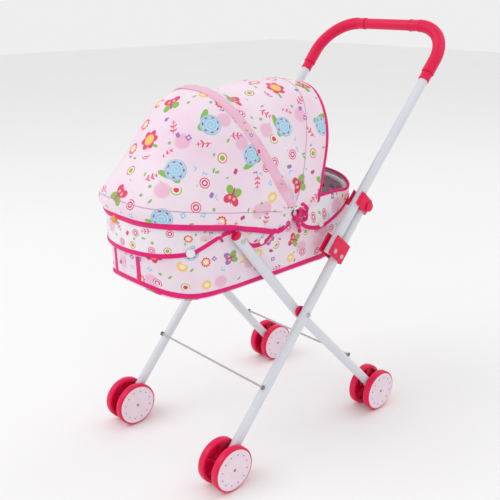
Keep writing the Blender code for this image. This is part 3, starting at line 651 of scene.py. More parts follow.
@dataclass
class Finishes:
    """Every material of the stroller, made once."""

    def __post_init__(self) -> None:
        """Build the materials."""
        self.enamel = Enamel().build()
        self.pink = Moulded("pink_moulded", Pink.MOULDED.value, 0.34).build()
        self.pale = Moulded("pale_cap_moulded", (0.89, 0.74, 0.82), 0.42).build()
        self.dots = Moulded("berry_moulded", (0.22, 0.01, 0.06), 0.5).build()
        self.snap = Moulded("snap_white", (0.86, 0.84, 0.87), 0.28).build()
        self.button = Moulded("button_orange", (0.90, 0.36, 0.05), 0.35).build()
        self.zinc = Plated().build()
        self.dark_steel = Plated("dark_rivet", (0.30, 0.29, 0.30), 0.38).build()
        self.print = PrintedCloth("hood_print", (0.92, 0.79, 0.88), (0.91, 0.60, 0.77)).build()
        self.basket_print = PrintedCloth("basket_print", (0.91, 0.80, 0.88), (0.90, 0.64, 0.78),
                                         58 * MM, 30 * MM).build()
        self.cuff_print = PrintedCloth("cuff_print", (0.90, 0.87, 0.92), (0.89, 0.72, 0.84),
                                       70 * MM, 24 * MM, 13 * MM, large_share=0.12).build()
        self.band = PrintedCloth("band_print", (0.91, 0.50, 0.67), (0.91, 0.62, 0.76), 90 * MM,
                                 60 * MM, 11 * MM, large_share=0.05).build()
        self.binding = Binding("pink_binding", Pink.BINDING.value).build()
        self.ribbon = Binding("pink_ribbon", Pink.RIBBON.value, 0.9 * MM).build()
        self.seam = Binding("seam_thread", (0.62, 0.34, 0.48), 0.8 * MM).build()


# ------------------------------------------------------------------ shared modelling steps

class Bench:
    """Modelling steps that the sub-assemblies share."""

    @staticmethod
    def only(piece: Piece) -> None:
        """Select one piece and nothing else."""
        if bpy.context.mode != "OBJECT":
            bpy.ops.object.mode_set(mode="OBJECT")
        bpy.ops.object.select_all(action="DESELECT")
        piece.select_set(True)
        bpy.context.view_layer.objects.active = piece

    @staticmethod
    def edit(piece: Piece) -> None:
        """Open one piece in edit mode with everything selected."""
        Bench.only(piece)
        bpy.ops.object.mode_set(mode="EDIT")
        bpy.ops.mesh.select_all(action="SELECT")

    @staticmethod
    def close(piece: Piece) -> None:
        """Merge doubles, turn the faces outwards and leave edit mode."""
        Bench.edit(piece)
        bpy.ops.mesh.remove_doubles(threshold=1e-6)
        bpy.ops.mesh.delete_loose(use_verts=True, use_edges=True, use_faces=False)
        bpy.ops.mesh.select_all(action="SELECT")
        bpy.ops.mesh.normals_make_consistent(inside=False)
        bpy.ops.object.mode_set(mode="OBJECT")

    @staticmethod
    def modify(piece: Piece, kind: str, **settings: float | str | bool) -> None:
        """Add a modifier and apply it."""
        Bench.only(piece)
        made = piece.modifiers.new(kind.title(), kind)
        for key, value in settings.items():
            setattr(made, key, value)
        bpy.ops.object.modifier_apply(modifier=made.name)

    @staticmethod
    def sweep(name: str, points: Line, radii: float | Sequence[float], sides: int = 16) -> Piece:
        """A round bar along a line.

        Args:
            name: the piece's name.
            points: the line, in metres.
            radii: one radius, or one for each point, in metres.
            sides: faces around it.

        Returns:
            The bar.
        """
        if isinstance(radii, float):
            radii = [radii] * len(points)
        data = bpy.data.curves.new(name, "CURVE")
        data.dimensions = "3D"
        data.bevel_depth = 1.0
        data.bevel_resolution = sides // 2 - 2
        data.use_fill_caps = True
        spline = data.splines.new("POLY")
        spline.points.add(len(points) - 1)
        for knot, point, radius in zip(spline.points, points, radii):
            knot.co = (*point, 1.0)
            knot.radius = radius
        piece = bpy.data.objects.new(name, data)
        bpy.context.scene.collection.objects.link(piece)
        Bench.only(piece)
        bpy.ops.object.convert(target="MESH")
        Bench.close(piece)
        return piece

    @staticmethod
    def tube(name: str, points: Line, radius: float, sides: int = 24) -> Piece:
        """A bar with rolled ends."""
        roll = min(1.2 * MM, radius * 0.4)
        first = (points[1] - points[0]).normalized()
        last = (points[-2] - points[-1]).normalized()
        line = [points[0], points[0] + first * roll * 0.3, points[0] + first * roll, *points[1:-1],
                points[-1] + last * roll, points[-1] + last * roll * 0.3, points[-1]]
        radii = [radius - roll, radius - roll * 0.3, *([radius] * (len(line) - 4)),
                 radius - roll * 0.3, radius - roll]
        return Bench.sweep(name, line, radii, sides)

    @staticmethod
    def lathe(name: str, outline: Outline, base: Vector, axis: Vector,
              steps: int = 28) -> Piece:
        """A turned solid.

        Args:
            name: the piece's name.
            outline: its closed section as (radius, height) pairs in millimetres.
            base: where height 0 lies.
            axis: the direction of its height.
            steps: faces around it.

        Returns:
            The solid.
        """
        bpy.ops.mesh.primitive_circle_add(vertices=len(outline), radius=1.0, location=(0, 0, 0))
        piece = bpy.context.object
        piece.name = piece.data.name = name
        for vertex, (radius, height) in zip(piece.data.vertices, outline):
            vertex.co = (radius * MM, 0, height * MM)
        Bench.edit(piece)
        bpy.ops.mesh.spin(steps=steps, angle=math.tau, center=(0, 0, 0), axis=(0, 0, 1))
        Bench.close(piece)
        turn = axis.to_track_quat("Z", "Y").to_matrix().to_4x4()
        piece.data.transform(Matrix.Translation(base) @ turn)
        return piece

    @staticmethod
    def dome(name: str, radius: float, height: float, base: Vector, axis: Vector,
             steps: int = 20) -> Piece:
        """A shallow domed head, in millimetres."""
        outline = [(0, 0), (radius, 0), (radius, height * 0.25)]
        outline += [(radius * math.cos(a), height * (0.25 + 0.75 * math.sin(a)))
                    for a in (0.35, 0.7, 1.05, 1.35)]
        return Bench.lathe(name, [*outline, (0, height)], base, axis, steps)

    @staticmethod
    def loft(name: str, rows: Rows, thickness: float, unroll: bool = False,
             floor_from: int = 10 ** 6) -> tuple[Piece, tuple, float]:
        """A sheet of cloth laid over rows of points.

        Args:
            name: the piece's name.
            rows: rows of equally many points, in metres.
            thickness: the cloth's thickness.
            unroll: flatten the sheet for its UV map, instead of measuring along its rows.
            floor_from: from this row on, the UV map is laid flat over the floor.

        Returns:
            The piece, its flat size and its flat area.
        """
        bpy.ops.mesh.primitive_grid_add(x_subdivisions=len(rows[0]) - 1,
                                        y_subdivisions=len(rows) - 1, size=2, location=(0, 0, 0))
        piece = bpy.context.object
        piece.name = piece.data.name = name
        for vertex, point in zip(piece.data.vertices, (p for row in rows for p in row)):
            vertex.co = point
        columns = len(rows[0])
        across, down = [], []
        for row in rows:
            run = [0.0]
            for a, b in zip(row, row[1:]):
                run.append(run[-1] + (b - a).length)
            across.append([value - run[-1] / 2 for value in run])
        step = 0.0
        middle = columns // 2
        for i, row in enumerate(rows):
            step += (row[middle] - rows[i - 1][middle]).length if i else 0.0
            down.append(step)
        piece.data.update()
        area = sum(face.area for face in piece.data.polygons)
        size = (max(row[-1] - row[0] for row in across),
                max(sum((b[c] - a[c]).length for a, b in zip(rows, rows[1:]))
                    for c in range(columns)))
        uv = piece.data.uv_layers.active.data
        for face in piece.data.polygons:
            flat = min(face.vertices) // columns >= floor_from
            for index, corner in zip(face.loop_indices, face.vertices):
                row, column = divmod(corner, columns)
                place = piece.data.vertices[corner].co
                uv[index].uv = (place.x, place.y) if flat else (across[row][column], down[row])
        if unroll:
            Bench.edit(piece)
            bpy.ops.uv.unwrap(method="MINIMUM_STRETCH", margin=0.0)
            bpy.ops.object.mode_set(mode="OBJECT")
            uv = piece.data.uv_layers.active.data
            flat_area = 0.0
            for face in piece.data.polygons:
                corners = [uv[i].uv for i in face.loop_indices]
                turned = corners[1:] + corners[:1]
                flat_area += abs(sum(a.x * b.y - b.x * a.y for a, b in zip(corners, turned))) / 2
            grow = math.sqrt(area / max(flat_area, 1e-9))
            for loop in piece.data.loops:
                uv[loop.index].uv = uv[loop.index].uv * grow
        Bench.close(piece)
        Bench.modify(piece, "SOLIDIFY", thickness=thickness, offset=0.0)
        return piece, size, area

    @staticmethod
    def soften(node: str, name: str, width: float) -> Piece:
        """A copy of a CAD solid with merged faces and rounded edges.

        Args:
            node: the CAD node.
            name: the new piece's name.
            width: the rounding of its edges in metres.

        Returns:
            The new piece.
        """
        piece = bpy.data.objects.new(name, frame["nodes"][node].data.copy())
        bpy.context.scene.collection.objects.link(piece)
        Bench.edit(piece)
        bpy.ops.mesh.remove_doubles(threshold=1e-5)
        bpy.ops.mesh.select_all(action="SELECT")
        bpy.ops.mesh.dissolve_limited(angle_limit=math.radians(1.5))
        bpy.ops.object.mode_set(mode="OBJECT")
        Bench.modify(piece, "BEVEL", width=width, segments=3, limit_method="ANGLE",
                     angle_limit=math.radians(38), use_clamp_overlap=True)
        return piece

    @staticmethod
    def mould(node: str, name: str, width: float, material: bpy.types.Material, body: str) -> None:
        """A softened copy of a CAD solid in moulded plastic, which stands for that solid."""
        Bench.hang(Bench.soften(node, name, width), material, "pink_plastic", body, node)

    @staticmethod
    def copy(piece: Piece, name: str, move: Matrix) -> Piece:
        """A copy with its own mesh, moved; a mirrored one is turned the right way out."""
        twin = bpy.data.objects.new(name, piece.data.copy())
        bpy.context.scene.collection.objects.link(twin)
        twin.data.transform(move)
        if move.determinant() < 0:
            twin.data.flip_normals()
        return twin

    @staticmethod
    def join(pieces: Sequence[Piece]) -> Piece:
        """Join pieces into the first."""
        Bench.only(pieces[0])
        for piece in pieces[1:]:
            piece.select_set(True)
        bpy.ops.object.join()
        return pieces[0]

    @staticmethod
    def dress(piece: Piece, material: bpy.types.Material, slot: str,
              angle: float = 40.0) -> Piece:
        """Smooth a finished piece and give it its material."""
        Bench.only(piece)
        bpy.ops.object.shade_smooth_by_angle(angle=math.radians(angle))
        piece.data.materials.clear()
        piece.data.materials.append(material)
        return piece

    @staticmethod
    def hang(piece: Piece, material: bpy.types.Material, slot: str, body: str,
             *stands_for: str) -> Piece:
        """Dress a piece, put it on its body and let it stand for CAD nodes."""
        Bench.dress(piece, material, slot)
        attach(piece, body)
        if stands_for:
            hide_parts(*stands_for)
        log.info("%s: %d faces on %s", piece.name, len(piece.data.polygons), body)
        return piece


def rounded(corners: Line, radius: float, steps: int = 8) -> list[Vector]:
    """A line whose inner corners are rounded.

    Args:
        corners: its corners.
        radius: length cut off each side of a corner.
        steps: points on each rounded corner.

    Returns:
        Its points.
    """
    line = [corners[0]]
    for before, corner, after in zip(corners, corners[1:], corners[2:]):
        start = corner + (before - corner).normalized() * radius
        end = corner + (after - corner).normalized() * radius
        for i in range(steps + 1):
            t = i / steps
            line.append(start * (1 - t) ** 2 + corner * 2 * t * (1 - t) + end * t * t)
    return [*line, corners[-1]]


# ------------------------------------------------------------------ frame

@dataclass
class Frame:
    """The crossed legs with their rods, spacers, plugs and rivets."""

    finishes: Finishes
    tube_r: float = 7.0
    track: float = 112.0
    tail: float = 9.0
    front_length: float = 416.0
    front_rod_at: float = 113.0
    rod_r: float = 1.5
    rod_clear: float = 8.8
    rear_top: tuple = (93.4, 40.0, 341.5)
    rear_bend: tuple = (93.4, 159.56, 196.84)
    rear_low_bend: tuple = (116.0, 279.85, 63.67)
    front_rod_half: float = 115.5
    rivet_r: float = 3.6

    def build(self) -> None:
        """Make the whole frame."""
        for name, side in SIDES:
            self.front_leg(name, side)
            self.rear_leg(name, side)
            self.rivets(name, side)
        self.rods()

    def front_leg(self, name: str, side: int) -> None:
        """A straight front leg."""
        x = side * self.track * MM
        line = [on_leg(along * MM, 0, x)
                for along in (-self.tail, 120, 231, 320, self.front_length)]
        leg = Bench.tube(f"leg_front_{name}", line, self.tube_r * MM, 28)
        Bench.hang(leg, self.finishes.enamel, "white_paint", "front_frame", f"front_leg_{name}")
        Bench.mould(f"crossing_spacer_{name}", f"spacer_{name}", 0.6 * MM, self.finishes.pink,
                    "front_frame")

    def rear_line(self, side: int) -> list[Vector]:
        """Middle line of a rear leg, top first."""
        top, bend, low = (at(side * p[0], p[1], p[2]) for p in (self.rear_top, self.rear_bend,
                                                               self.rear_low_bend))
        axle = Vector((side * REAR_AXLE.x, REAR_AXLE.y, REAR_AXLE.z))
        foot = axle + (axle - low).normalized() * self.tail * MM
        return rounded([top, bend, low, foot], 14 * MM, 10)

    def rear_leg(self, name: str, side: int) -> None:
        """A bent rear leg with the plug on its top end."""
        leg = Bench.tube(f"leg_rear_{name}", self.rear_line(side), self.tube_r * MM, 28)
        Bench.hang(leg, self.finishes.enamel, "white_paint", "rear_frame", f"rear_leg_{name}")
        Bench.mould(f"leg_cap_{name}", f"leg_plug_{name}", 1.6 * MM, self.finishes.pink,
                    "rear_frame")

    def rod(self, name: str, middle: Vector, half: float, body: str, node: str) -> None:
        """A cross rod with flattened eyes at its ends."""
        line = [middle + ACROSS * x for x in (-half, -half * 0.5, 0.0, half * 0.5, half)]
        bar = Bench.sweep(name, line, self.rod_r * MM, 12)
        Bench.hang(bar, self.finishes.zinc, "zinc_steel", body, node)
        for side_name, side in SIDES:
            end = middle + ACROSS * side * (half - 1.2 * MM)
            head = Bench.dome(f"{name}_head_{side_name}", 3.4, 2.2, end, ACROSS * side, 18)
            Bench.hang(head, self.finishes.dark_steel, "zinc_steel", body)

    def rods(self) -> None:
        """The front and rear cross rods."""
        middle = on_leg(self.front_rod_at * MM, self.rod_clear * MM, 0)
        self.rod("rod_front", middle, self.front_rod_half * MM, "front_frame", "front_cross_rod")
        low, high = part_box("rear_cross_rod")
        self.rod("rod_rear", (low + high) / 2, high.x, "rear_frame", "rear_cross_rod")

    def rivets(self, name: str, side: int) -> None:
        """The rivets through the legs, each with two domed heads."""
        places = (("crossing_rivet", 84.9, 120.5, CROSSING, "front_frame"),
                  ("head_rim_rivet", 81.6, 101.9, RIM_PIVOT, "rear_frame"),
                  ("handle_pivot_rivet", 100.7, 123.3, HANDLE_PIVOT, "front_frame"),
                  ("bracket_rivet", 100.7, 123.3, None, "front_frame"),
                  ("hood_pin", 80.5, 94.3, HINGE, "head_rim"))
        for label, inner, outer, middle, body in places:
            node = f"{label}_{name}"
            if middle is None:
                low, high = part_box(node)
                middle = (low + high) / 2
            start = Vector((side * inner * MM, middle.y, middle.z))
            end = Vector((side * outer * MM, middle.y, middle.z))
            length = outer - inner
            outline = [(0, 0.2), (1.6, 0), (3.0, 0.35), (self.rivet_r, 1.0), (self.rivet_r, 1.3),
                       (2, 1.3), (2, length - 1.3), (self.rivet_r, length - 1.3),
                       (self.rivet_r, length - 1.0), (3.0, length - 0.35), (1.6, length),
                       (0, length - 0.2)]
            way = (end - start).normalized()
            pin = Bench.lathe(f"{label}_turned_{name}", outline, start, way, 20)
            Bench.hang(pin, self.finishes.zinc, "zinc_steel", body, node)


@dataclass
class Wheels:
    """Four double wheels: two discs, two pale caps and an axle each."""

    finishes: Finishes
    disc: tuple = ((29.8, 11), (30.6, 11), (32.0, 10.2), (32.5, 9), (32.5, 2), (32.0, 0.8),
                   (30.6, 0), (27.5, 0), (26.9, 0.6), (26.5, 3), (26.5, 6.1), (9.2, 6.1), (8, 4.8),
                   (8, 0.4), (7.6, 0), (2.4, 0), (2.4, 9.6), (29.8, 9.6))
    cap: tuple = ((2.2, 1.6), (4.5, 1.6), (5.2, 2.4), (7.5, 2.4), (8.3, 1.5), (24.5, 1.5),
                  (25.2, 1.9), (28.6, 1.9), (29.5, 1.2), (29.5, 0), (2.2, 0))
    disc_seat: float = 8.3
    cap_seat: float = 18.2
    spokes: int = 6
    dots: int = 12
    dot_ring: float = 22.3
    dot_seat: float = 1.45

    def build(self) -> None:
        """Model one wheel's parts at the origin and copy them to the eight places."""
        disc = Bench.lathe("disc_pattern", self.disc, Vector(), UP, 48)
        disc = Bench.join([disc, *[self.spoke(i) for i in range(self.spokes)]])
        cap = Bench.lathe("cap_pattern", self.cap, Vector(), UP, 48)
        dots = Bench.join([self.dot(i) for i in range(self.dots)])
        for end in ("front", "rear"):
            for name, side in SIDES:
                hub = pivot(f"{end}_wheel_{name}_spin")
                self.wheel(f"{end}_wheel_{name}", hub, side, disc, cap, dots)
                self.axle(f"{end}_wheel_{name}", f"{end}_axle_{name}", hub)
        for pattern in (disc, cap, dots):
            bpy.data.objects.remove(pattern)

    def spoke(self, number: int) -> Piece:
        """A thin rib between the hub and the tyre, on the leg's side."""
        angle = math.tau * number / self.spokes
        bpy.ops.mesh.primitive_cube_add(size=1.0, location=(17.6 * MM, 0, 3.9 * MM))
        rib = bpy.context.object
        rib.scale = (18.6 * MM, 1.5 * MM, 5.0 * MM)
        Bench.only(rib)
        bpy.ops.object.transform_apply(location=True, rotation=True, scale=True)
        Bench.modify(rib, "BEVEL", width=0.35 * MM, segments=2)
        rib.data.transform(Matrix.Rotation(angle, 4, "Z"))
        return rib

    def dot(self, number: int) -> Piece:
        """One small raised dot of the cap's ring."""
        angle = math.tau * (number + 0.5) / self.dots
        base = Vector((math.cos(angle) * self.dot_ring * MM, math.sin(angle) * self.dot_ring * MM,
                       self.dot_seat * MM))
        return Bench.dome(f"dot_{number}", 0.95, 0.5, base, UP, 8)

    def wheel(self, body: str, hub: Vector, side: int, disc: Piece, cap: Piece,
              dots: Piece) -> None:
        """Copy a disc, a cap and its dots to both sides of one leg."""
        for label, way in (("outer", side), ("inner", -side)):
            turn = Matrix.Rotation(math.pi / 2 * way, 4, "Y")
            seat = Matrix.Translation(hub) @ turn @ Matrix.Translation((0, 0, self.disc_seat * MM))
            lid = Matrix.Translation(hub) @ turn @ Matrix.Translation((0, 0, self.cap_seat * MM))
            Bench.hang(Bench.copy(disc, f"{body}_{label}_tyre", seat), self.finishes.pink,
                       "pink_plastic", body, f"{body}_{label}_disc")
            Bench.hang(Bench.copy(cap, f"{body}_{label}_lid", lid), self.finishes.pale,
                       "pale_pink_plastic", body, f"{body}_{label}_cap")
            Bench.hang(Bench.copy(dots, f"{body}_{label}_dots", lid), self.finishes.dots,
                       "pink_plastic", body)

    def axle(self, body: str, node: str, hub: Vector) -> None:
        """The axle pin with peened ends."""
        low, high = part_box(node)
        half = (high.x - low.x) / 2 / MM
        outline = [(0, 0), (1.4, 0.1), (2.0, 0.7), (2.0, 2 * half - 0.7), (1.4, 2 * half - 0.1),
                   (0, 2 * half)]
        pin = Bench.lathe(f"{node}_pin", outline, Vector((low.x, hub.y, hub.z)), ACROSS, 16)
        Bench.hang(pin, self.finishes.dark_steel, "zinc_steel", body, node)


# ------------------------------------------------------------------ handle

@dataclass
class Handle:
    """The push handle, its ribbed grips, and the moulded brackets and clips on the front legs."""

    finishes: Finishes
    offset: float = 18.0
    pivot_at: float = 326.0
    straight: float = 325.0
    tail: float = 6.5
    foot_x: float = 112.0
    spread: float = 6.0
    bend_r: float = 60.0
    tube_r: float = 7.0
    grip_lower: float = 24.0
    centre_half: float = 43.0
    centre_r: float = 8.3
    centre_end_r: float = 7.9
    ring_pitch: float = 2.3
    grip_r: float = 9.0
    rib: tuple = (0.0, 0.35, 0.45, 0.35)
    lip: float = 4.0
    plain: float = 16.0
    collar: float = 13.0

    def spot(self, along: float, x: float) -> Vector:
        """A place on the handle's middle plane, in millimetres past its pivot."""
        return on_leg((self.pivot_at + along) * MM, self.offset * MM, x * MM)

    def side_x(self, along: float) -> float:
        """How far out a side tube is, in millimetres."""
        return self.foot_x + self.spread * along / self.straight

    def line(self, side: int, start: float) -> list[Vector]:
        """Middle line from a place on a side tube round its bend to the middle plane."""
        half = self.foot_x + self.spread
        points = [self.spot(start, side * self.side_x(start))]
        if start < 0:
            points.append(self.spot(160, side * self.side_x(160)))
        for x, y in quarter(24, 1.0, 1.0):
            points.append(self.spot(self.straight + self.bend_r * y,
                                    side * (half - self.bend_r * (1 - x))))
        return [*points, self.spot(self.straight + self.bend_r, 0.0)]

    def build(self) -> None:
        """Make the handle, its grips and the fittings."""
        right, left = self.line(1, -self.tail), self.line(-1, -self.tail)
        tube = Bench.tube("handle_bar", [*right, *reversed(left[:-1])], self.tube_r * MM, 28)
        Bench.hang(tube, self.finishes.enamel, "white_paint", "handle", "handle_tube")
        for name, side in SIDES:
            self.grip(name, side)
            Bench.mould(f"lower_bracket_{name}", f"bracket_{name}", 0.7 * MM, self.finishes.pink,
                        "front_frame")
            Bench.mould(f"upper_clip_{name}", f"clip_{name}", 0.9 * MM, self.finishes.pink,
                        "front_frame")
        half = self.centre_half
        places = (-half, 0.5 - half, 2 - half, *range(-39, 40, 3), half - 2, half - 0.5, half)
        line = [self.spot(self.straight + self.bend_r, x) for x in places]
        radii = [self.centre_end_r * MM, *[self.centre_r * MM] * (len(line) - 2),
                 self.centre_end_r * MM]
        centre = Bench.sweep("grip_middle", line, radii, 28)
        Bench.hang(centre, self.finishes.pink, "pink_plastic", "handle", "grip_centre")

    def grip(self, name: str, side: int) -> None:
        """A ribbed elbow grip with smooth collars at both ends."""
        line = self.line(side, self.straight - self.grip_lower)
        line[-1] = self.spot(self.straight + self.bend_r, side * (self.centre_half + 0.3))
        length = sum((b - a).length for a, b in zip(line, line[1:]))
        count = int(length / (self.ring_pitch * MM)) * len(self.rib)
        points = resample(line, count + 1)
        radii = []
        for i in range(count + 1):
            place = i / count * length / MM
            rest = length / MM - place
            near = min(place, rest)
            flare = 0.55 if near < self.lip else 0.0
            ribs = 0.0 if near < self.lip or rest < self.plain else self.rib[i % len(self.rib)]
            edge = 0.6 if near < 0.3 else 0.0
            thinner = 0.25 if rest < self.plain else 0.0
            radii.append((self.grip_r + flare + ribs - edge - thinner) * MM)
        elbow = Bench.sweep(f"grip_ribbed_{name}", points, radii, 24)
        Bench.hang(elbow, self.finishes.pink, "pink_plastic", "handle", f"grip_elbow_{name}")
        start = self.straight - self.grip_lower - 0.3
        steps = (0.0, 0.4, 1.2, 3.2, 3.6, 4.0, 8.0, 12.2, self.collar)
        thick = (7.7, 8.2, 8.4, 8.4, 8.0, 8.0, 8.1, 8.3, 7.9)
        places = [start - (self.collar - step) for step in steps]
        below = [self.spot(place, side * self.side_x(place)) for place in places]
        ring = Bench.sweep(f"grip_collar_{name}", below, [r * MM for r in thick], 24)
        Bench.hang(ring, self.finishes.pink, "pink_plastic", "handle", f"grip_end_{name}")


# ------------------------------------------------------------------ soft goods

ARCH_STEPS = 32
HINGE_Y = 146.0
HINGE_Z = 351.0
HEAD_TURN = 20.0
FOOT_TURN = 262.0
RIM_LINE = ((-68, 363), (-45, 361.2), (-34, 359), (-8, 352.6), (19, 346.2), (45, 343.4), (100, 347),
            (146, 351), (170, 354), (200, 357), (240, 358), (262, 357), (275, 362), (290, 373))


def quarter(steps: int, across: float, along: float) -> list[tuple[float, float]]:
    """A quarter of a rounded outline of unit size, from (1, 0) to (0, 1).

    Args:
        steps: how many points follow the first.
        across: power of the first number's cosine; 1 is a circle, less is squarer.
        along: power of the second number's sine.

    Returns:
        Its points.
    """
    found = []
    for i in range(steps + 1):
        angle = math.pi / 2 * i / steps
        found.append((math.cos(angle) ** across if i < steps else 0.0, math.sin(angle) ** along))
    return found


def side_to_tip(half: float, start: float, tip: float, steps: int) -> list[tuple[float, float]]:
    """Quarter outline of a rounded end.

    Args:
        half: half width, in millimetres.
        start: where the side begins to turn in.
        tip: the end on the middle plane.
        steps: how many points follow the first.

    Returns:
        (across, behind the axle) pairs from the side to the tip.
    """
    return [(half * x, start + (tip - start) * y) for x, y in quarter(steps, 0.8, 0.9)]


def both_sides(half_row: Line) -> list[Vector]:
    """Mirror a right-hand row that ends on the middle plane into a full row."""
    return [*half_row, *[Vector((-p.x, p.y, p.z)) for p in reversed(half_row[:-1])]]


def outwards(direction: Vector, away: Vector) -> Vector:
    """A direction, turned round if it points against another."""
    return direction if direction.dot(away) > 0 else -direction


@dataclass
class Basket:
    """The sewn basket: a sagging lofted shell with piping round its floor and two ribbons."""

    finishes: Finishes
    top_half: float = 82.4
    low_half: float = 83.6
    head_tip: float = -67.0
    low_head_tip: float = -64.0
    foot_tip: float = 288.0
    low_foot_tip: float = 293.0
    cloth: float = 0.9
    levels: tuple = (0, .06, .14, .24, .34, .44, .54, .64, .74, .82, .88, .92, .95, .975, 1)
    floor_line: tuple = ((-64, 281), (-45, 270), (-20, 264), (20, 262.5), (100, 262), (200, 262.5),
                         (270, 266), (296, 271))

    def outline(self, half: float, head_tip: float, foot_tip: float) -> list[tuple[float, float]]:
        """The right half of a level, from the head's middle to the foot's middle."""
        head = list(reversed(side_to_tip(half, HEAD_TURN, head_tip, 14)))
        count = 24
        side = [(half, HEAD_TURN + (FOOT_TURN - HEAD_TURN) * i / count) for i in range(1, count)]
        return [*head, *side, *side_to_tip(half, FOOT_TURN, foot_tip, 12)]

    def level(self, share: float) -> list[Vector]:
        """One closed row of the wall: share 0 is the rim, 1 is the floor's edge."""
        top = self.outline(self.top_half, self.head_tip, self.foot_tip)
        low = self.outline(self.low_half, self.low_head_tip, self.low_foot_tip)
        row = []
        for i, ((tx, ty), (lx, ly)) in enumerate(zip(top, low)):
            high = smooth_line(RIM_LINE, ty)
            base = smooth_line(self.floor_line, ly)
            curl = max(share - 0.88, 0.0) / 0.12
            drop = share - 0.02 * curl
            sag = 0.9 * math.sin(math.pi * share) * math.sin(i * 0.83) * (1 if 6 < i < 44 else 1.6)
            x = tx + (lx - tx) * share - (1 - math.sqrt(max(1 - curl * curl, 0.0))) * 3.0 * (lx > 1)
            scale = 1 + sag / 84
            row.append(at(x * min(scale, 1.012), ty + (ly - ty) * share,
                          high + (base - high) * drop))
        return row

    def build(self) -> None:
        """Make the shell, its piping and its ribbons."""
        rows = [both_sides(self.level(share)) for share in self.levels]
        edge = rows[-1]
        wall = len(rows) - 1
        middle = at(0, 110, 260.5)
        for share in (0.06, 0.16, 0.32, 0.52, 0.75, 1.0):
            sag = 2.4 * MM * math.sin(share * math.pi / 2)
            row = []
            for p in edge:
                target = Vector((0, middle.y + (p.y - middle.y) * 0.55, p.z))
                moved = p.lerp(target, share)
                row.append(Vector((moved.x, moved.y, moved.z - sag)))
            rows.append(row)
        shell, size, area = Bench.loft("basket_shell", rows, self.cloth * MM, floor_from=wall)
        Bench.dress(shell, self.finishes.basket_print, "printed_fabric", 60)
        pieces = [self.piping(), *[self.strap(name, side) for name, side in SIDES]]
        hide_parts("basket_fabric")
        for piece in (shell, *pieces):
            self.fold(piece)
        2 * size[1]
        min(area, size[0] * 2 * size[1])
        log.info("basket_shell: %d faces, cut %.3f x %.3f m", len(shell.data.polygons), *size)

    def fold(self, piece: Piece) -> None:
        """Put a piece of the basket on the front legs."""
        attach(piece, "front_frame")
        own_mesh(piece)

    def piping(self) -> Piece:
        """A flat binding round the floor's edge."""
        rows = []
        for share, grow in ((0.875, 0.4), (0.89, 0.9), (0.93, 1.2), (0.955, 1.1), (0.965, 0.5)):
            row = both_sides(self.level(share))
            middle = at(0, 112, 0).y
            rows.append([Vector((p.x * (1 + grow / 84),
                                 middle + (p.y - middle) * (1 + grow / 178), p.z)) for p in row])
        band = Bench.loft("basket_binding", rows, 0.7 * MM)[0]
        return Bench.dress(band, self.finishes.binding, "printed_fabric", 60)

    def strap(self, name: str, side: int) -> Piece:
        """A vertical ribbon on the head panel."""
        rows = []
        for share in (0.5, 0.6, 0.7, 0.8, 0.88, 0.93):
            level = self.level(share)
            row = []
            for x in (22.0, 24.0, 26.0, 28.0):
                near = min(range(15), key=lambda i: abs(level[i].x - x * MM))
                other = near + (1 if level[near].x < x * MM else -1)
                span = level[other].x - level[near].x
                spot = level[near].lerp(level[other], (x * MM - level[near].x) / span)
                row.append(Vector((side * spot.x, spot.y - 0.9 * MM, spot.z)))
            rows.append(row)
        band = Bench.loft(f"basket_ribbon_{name}", rows, 0.8 * MM)[0]
        return Bench.dress(band, self.finishes.ribbon, "printed_fabric", 60)


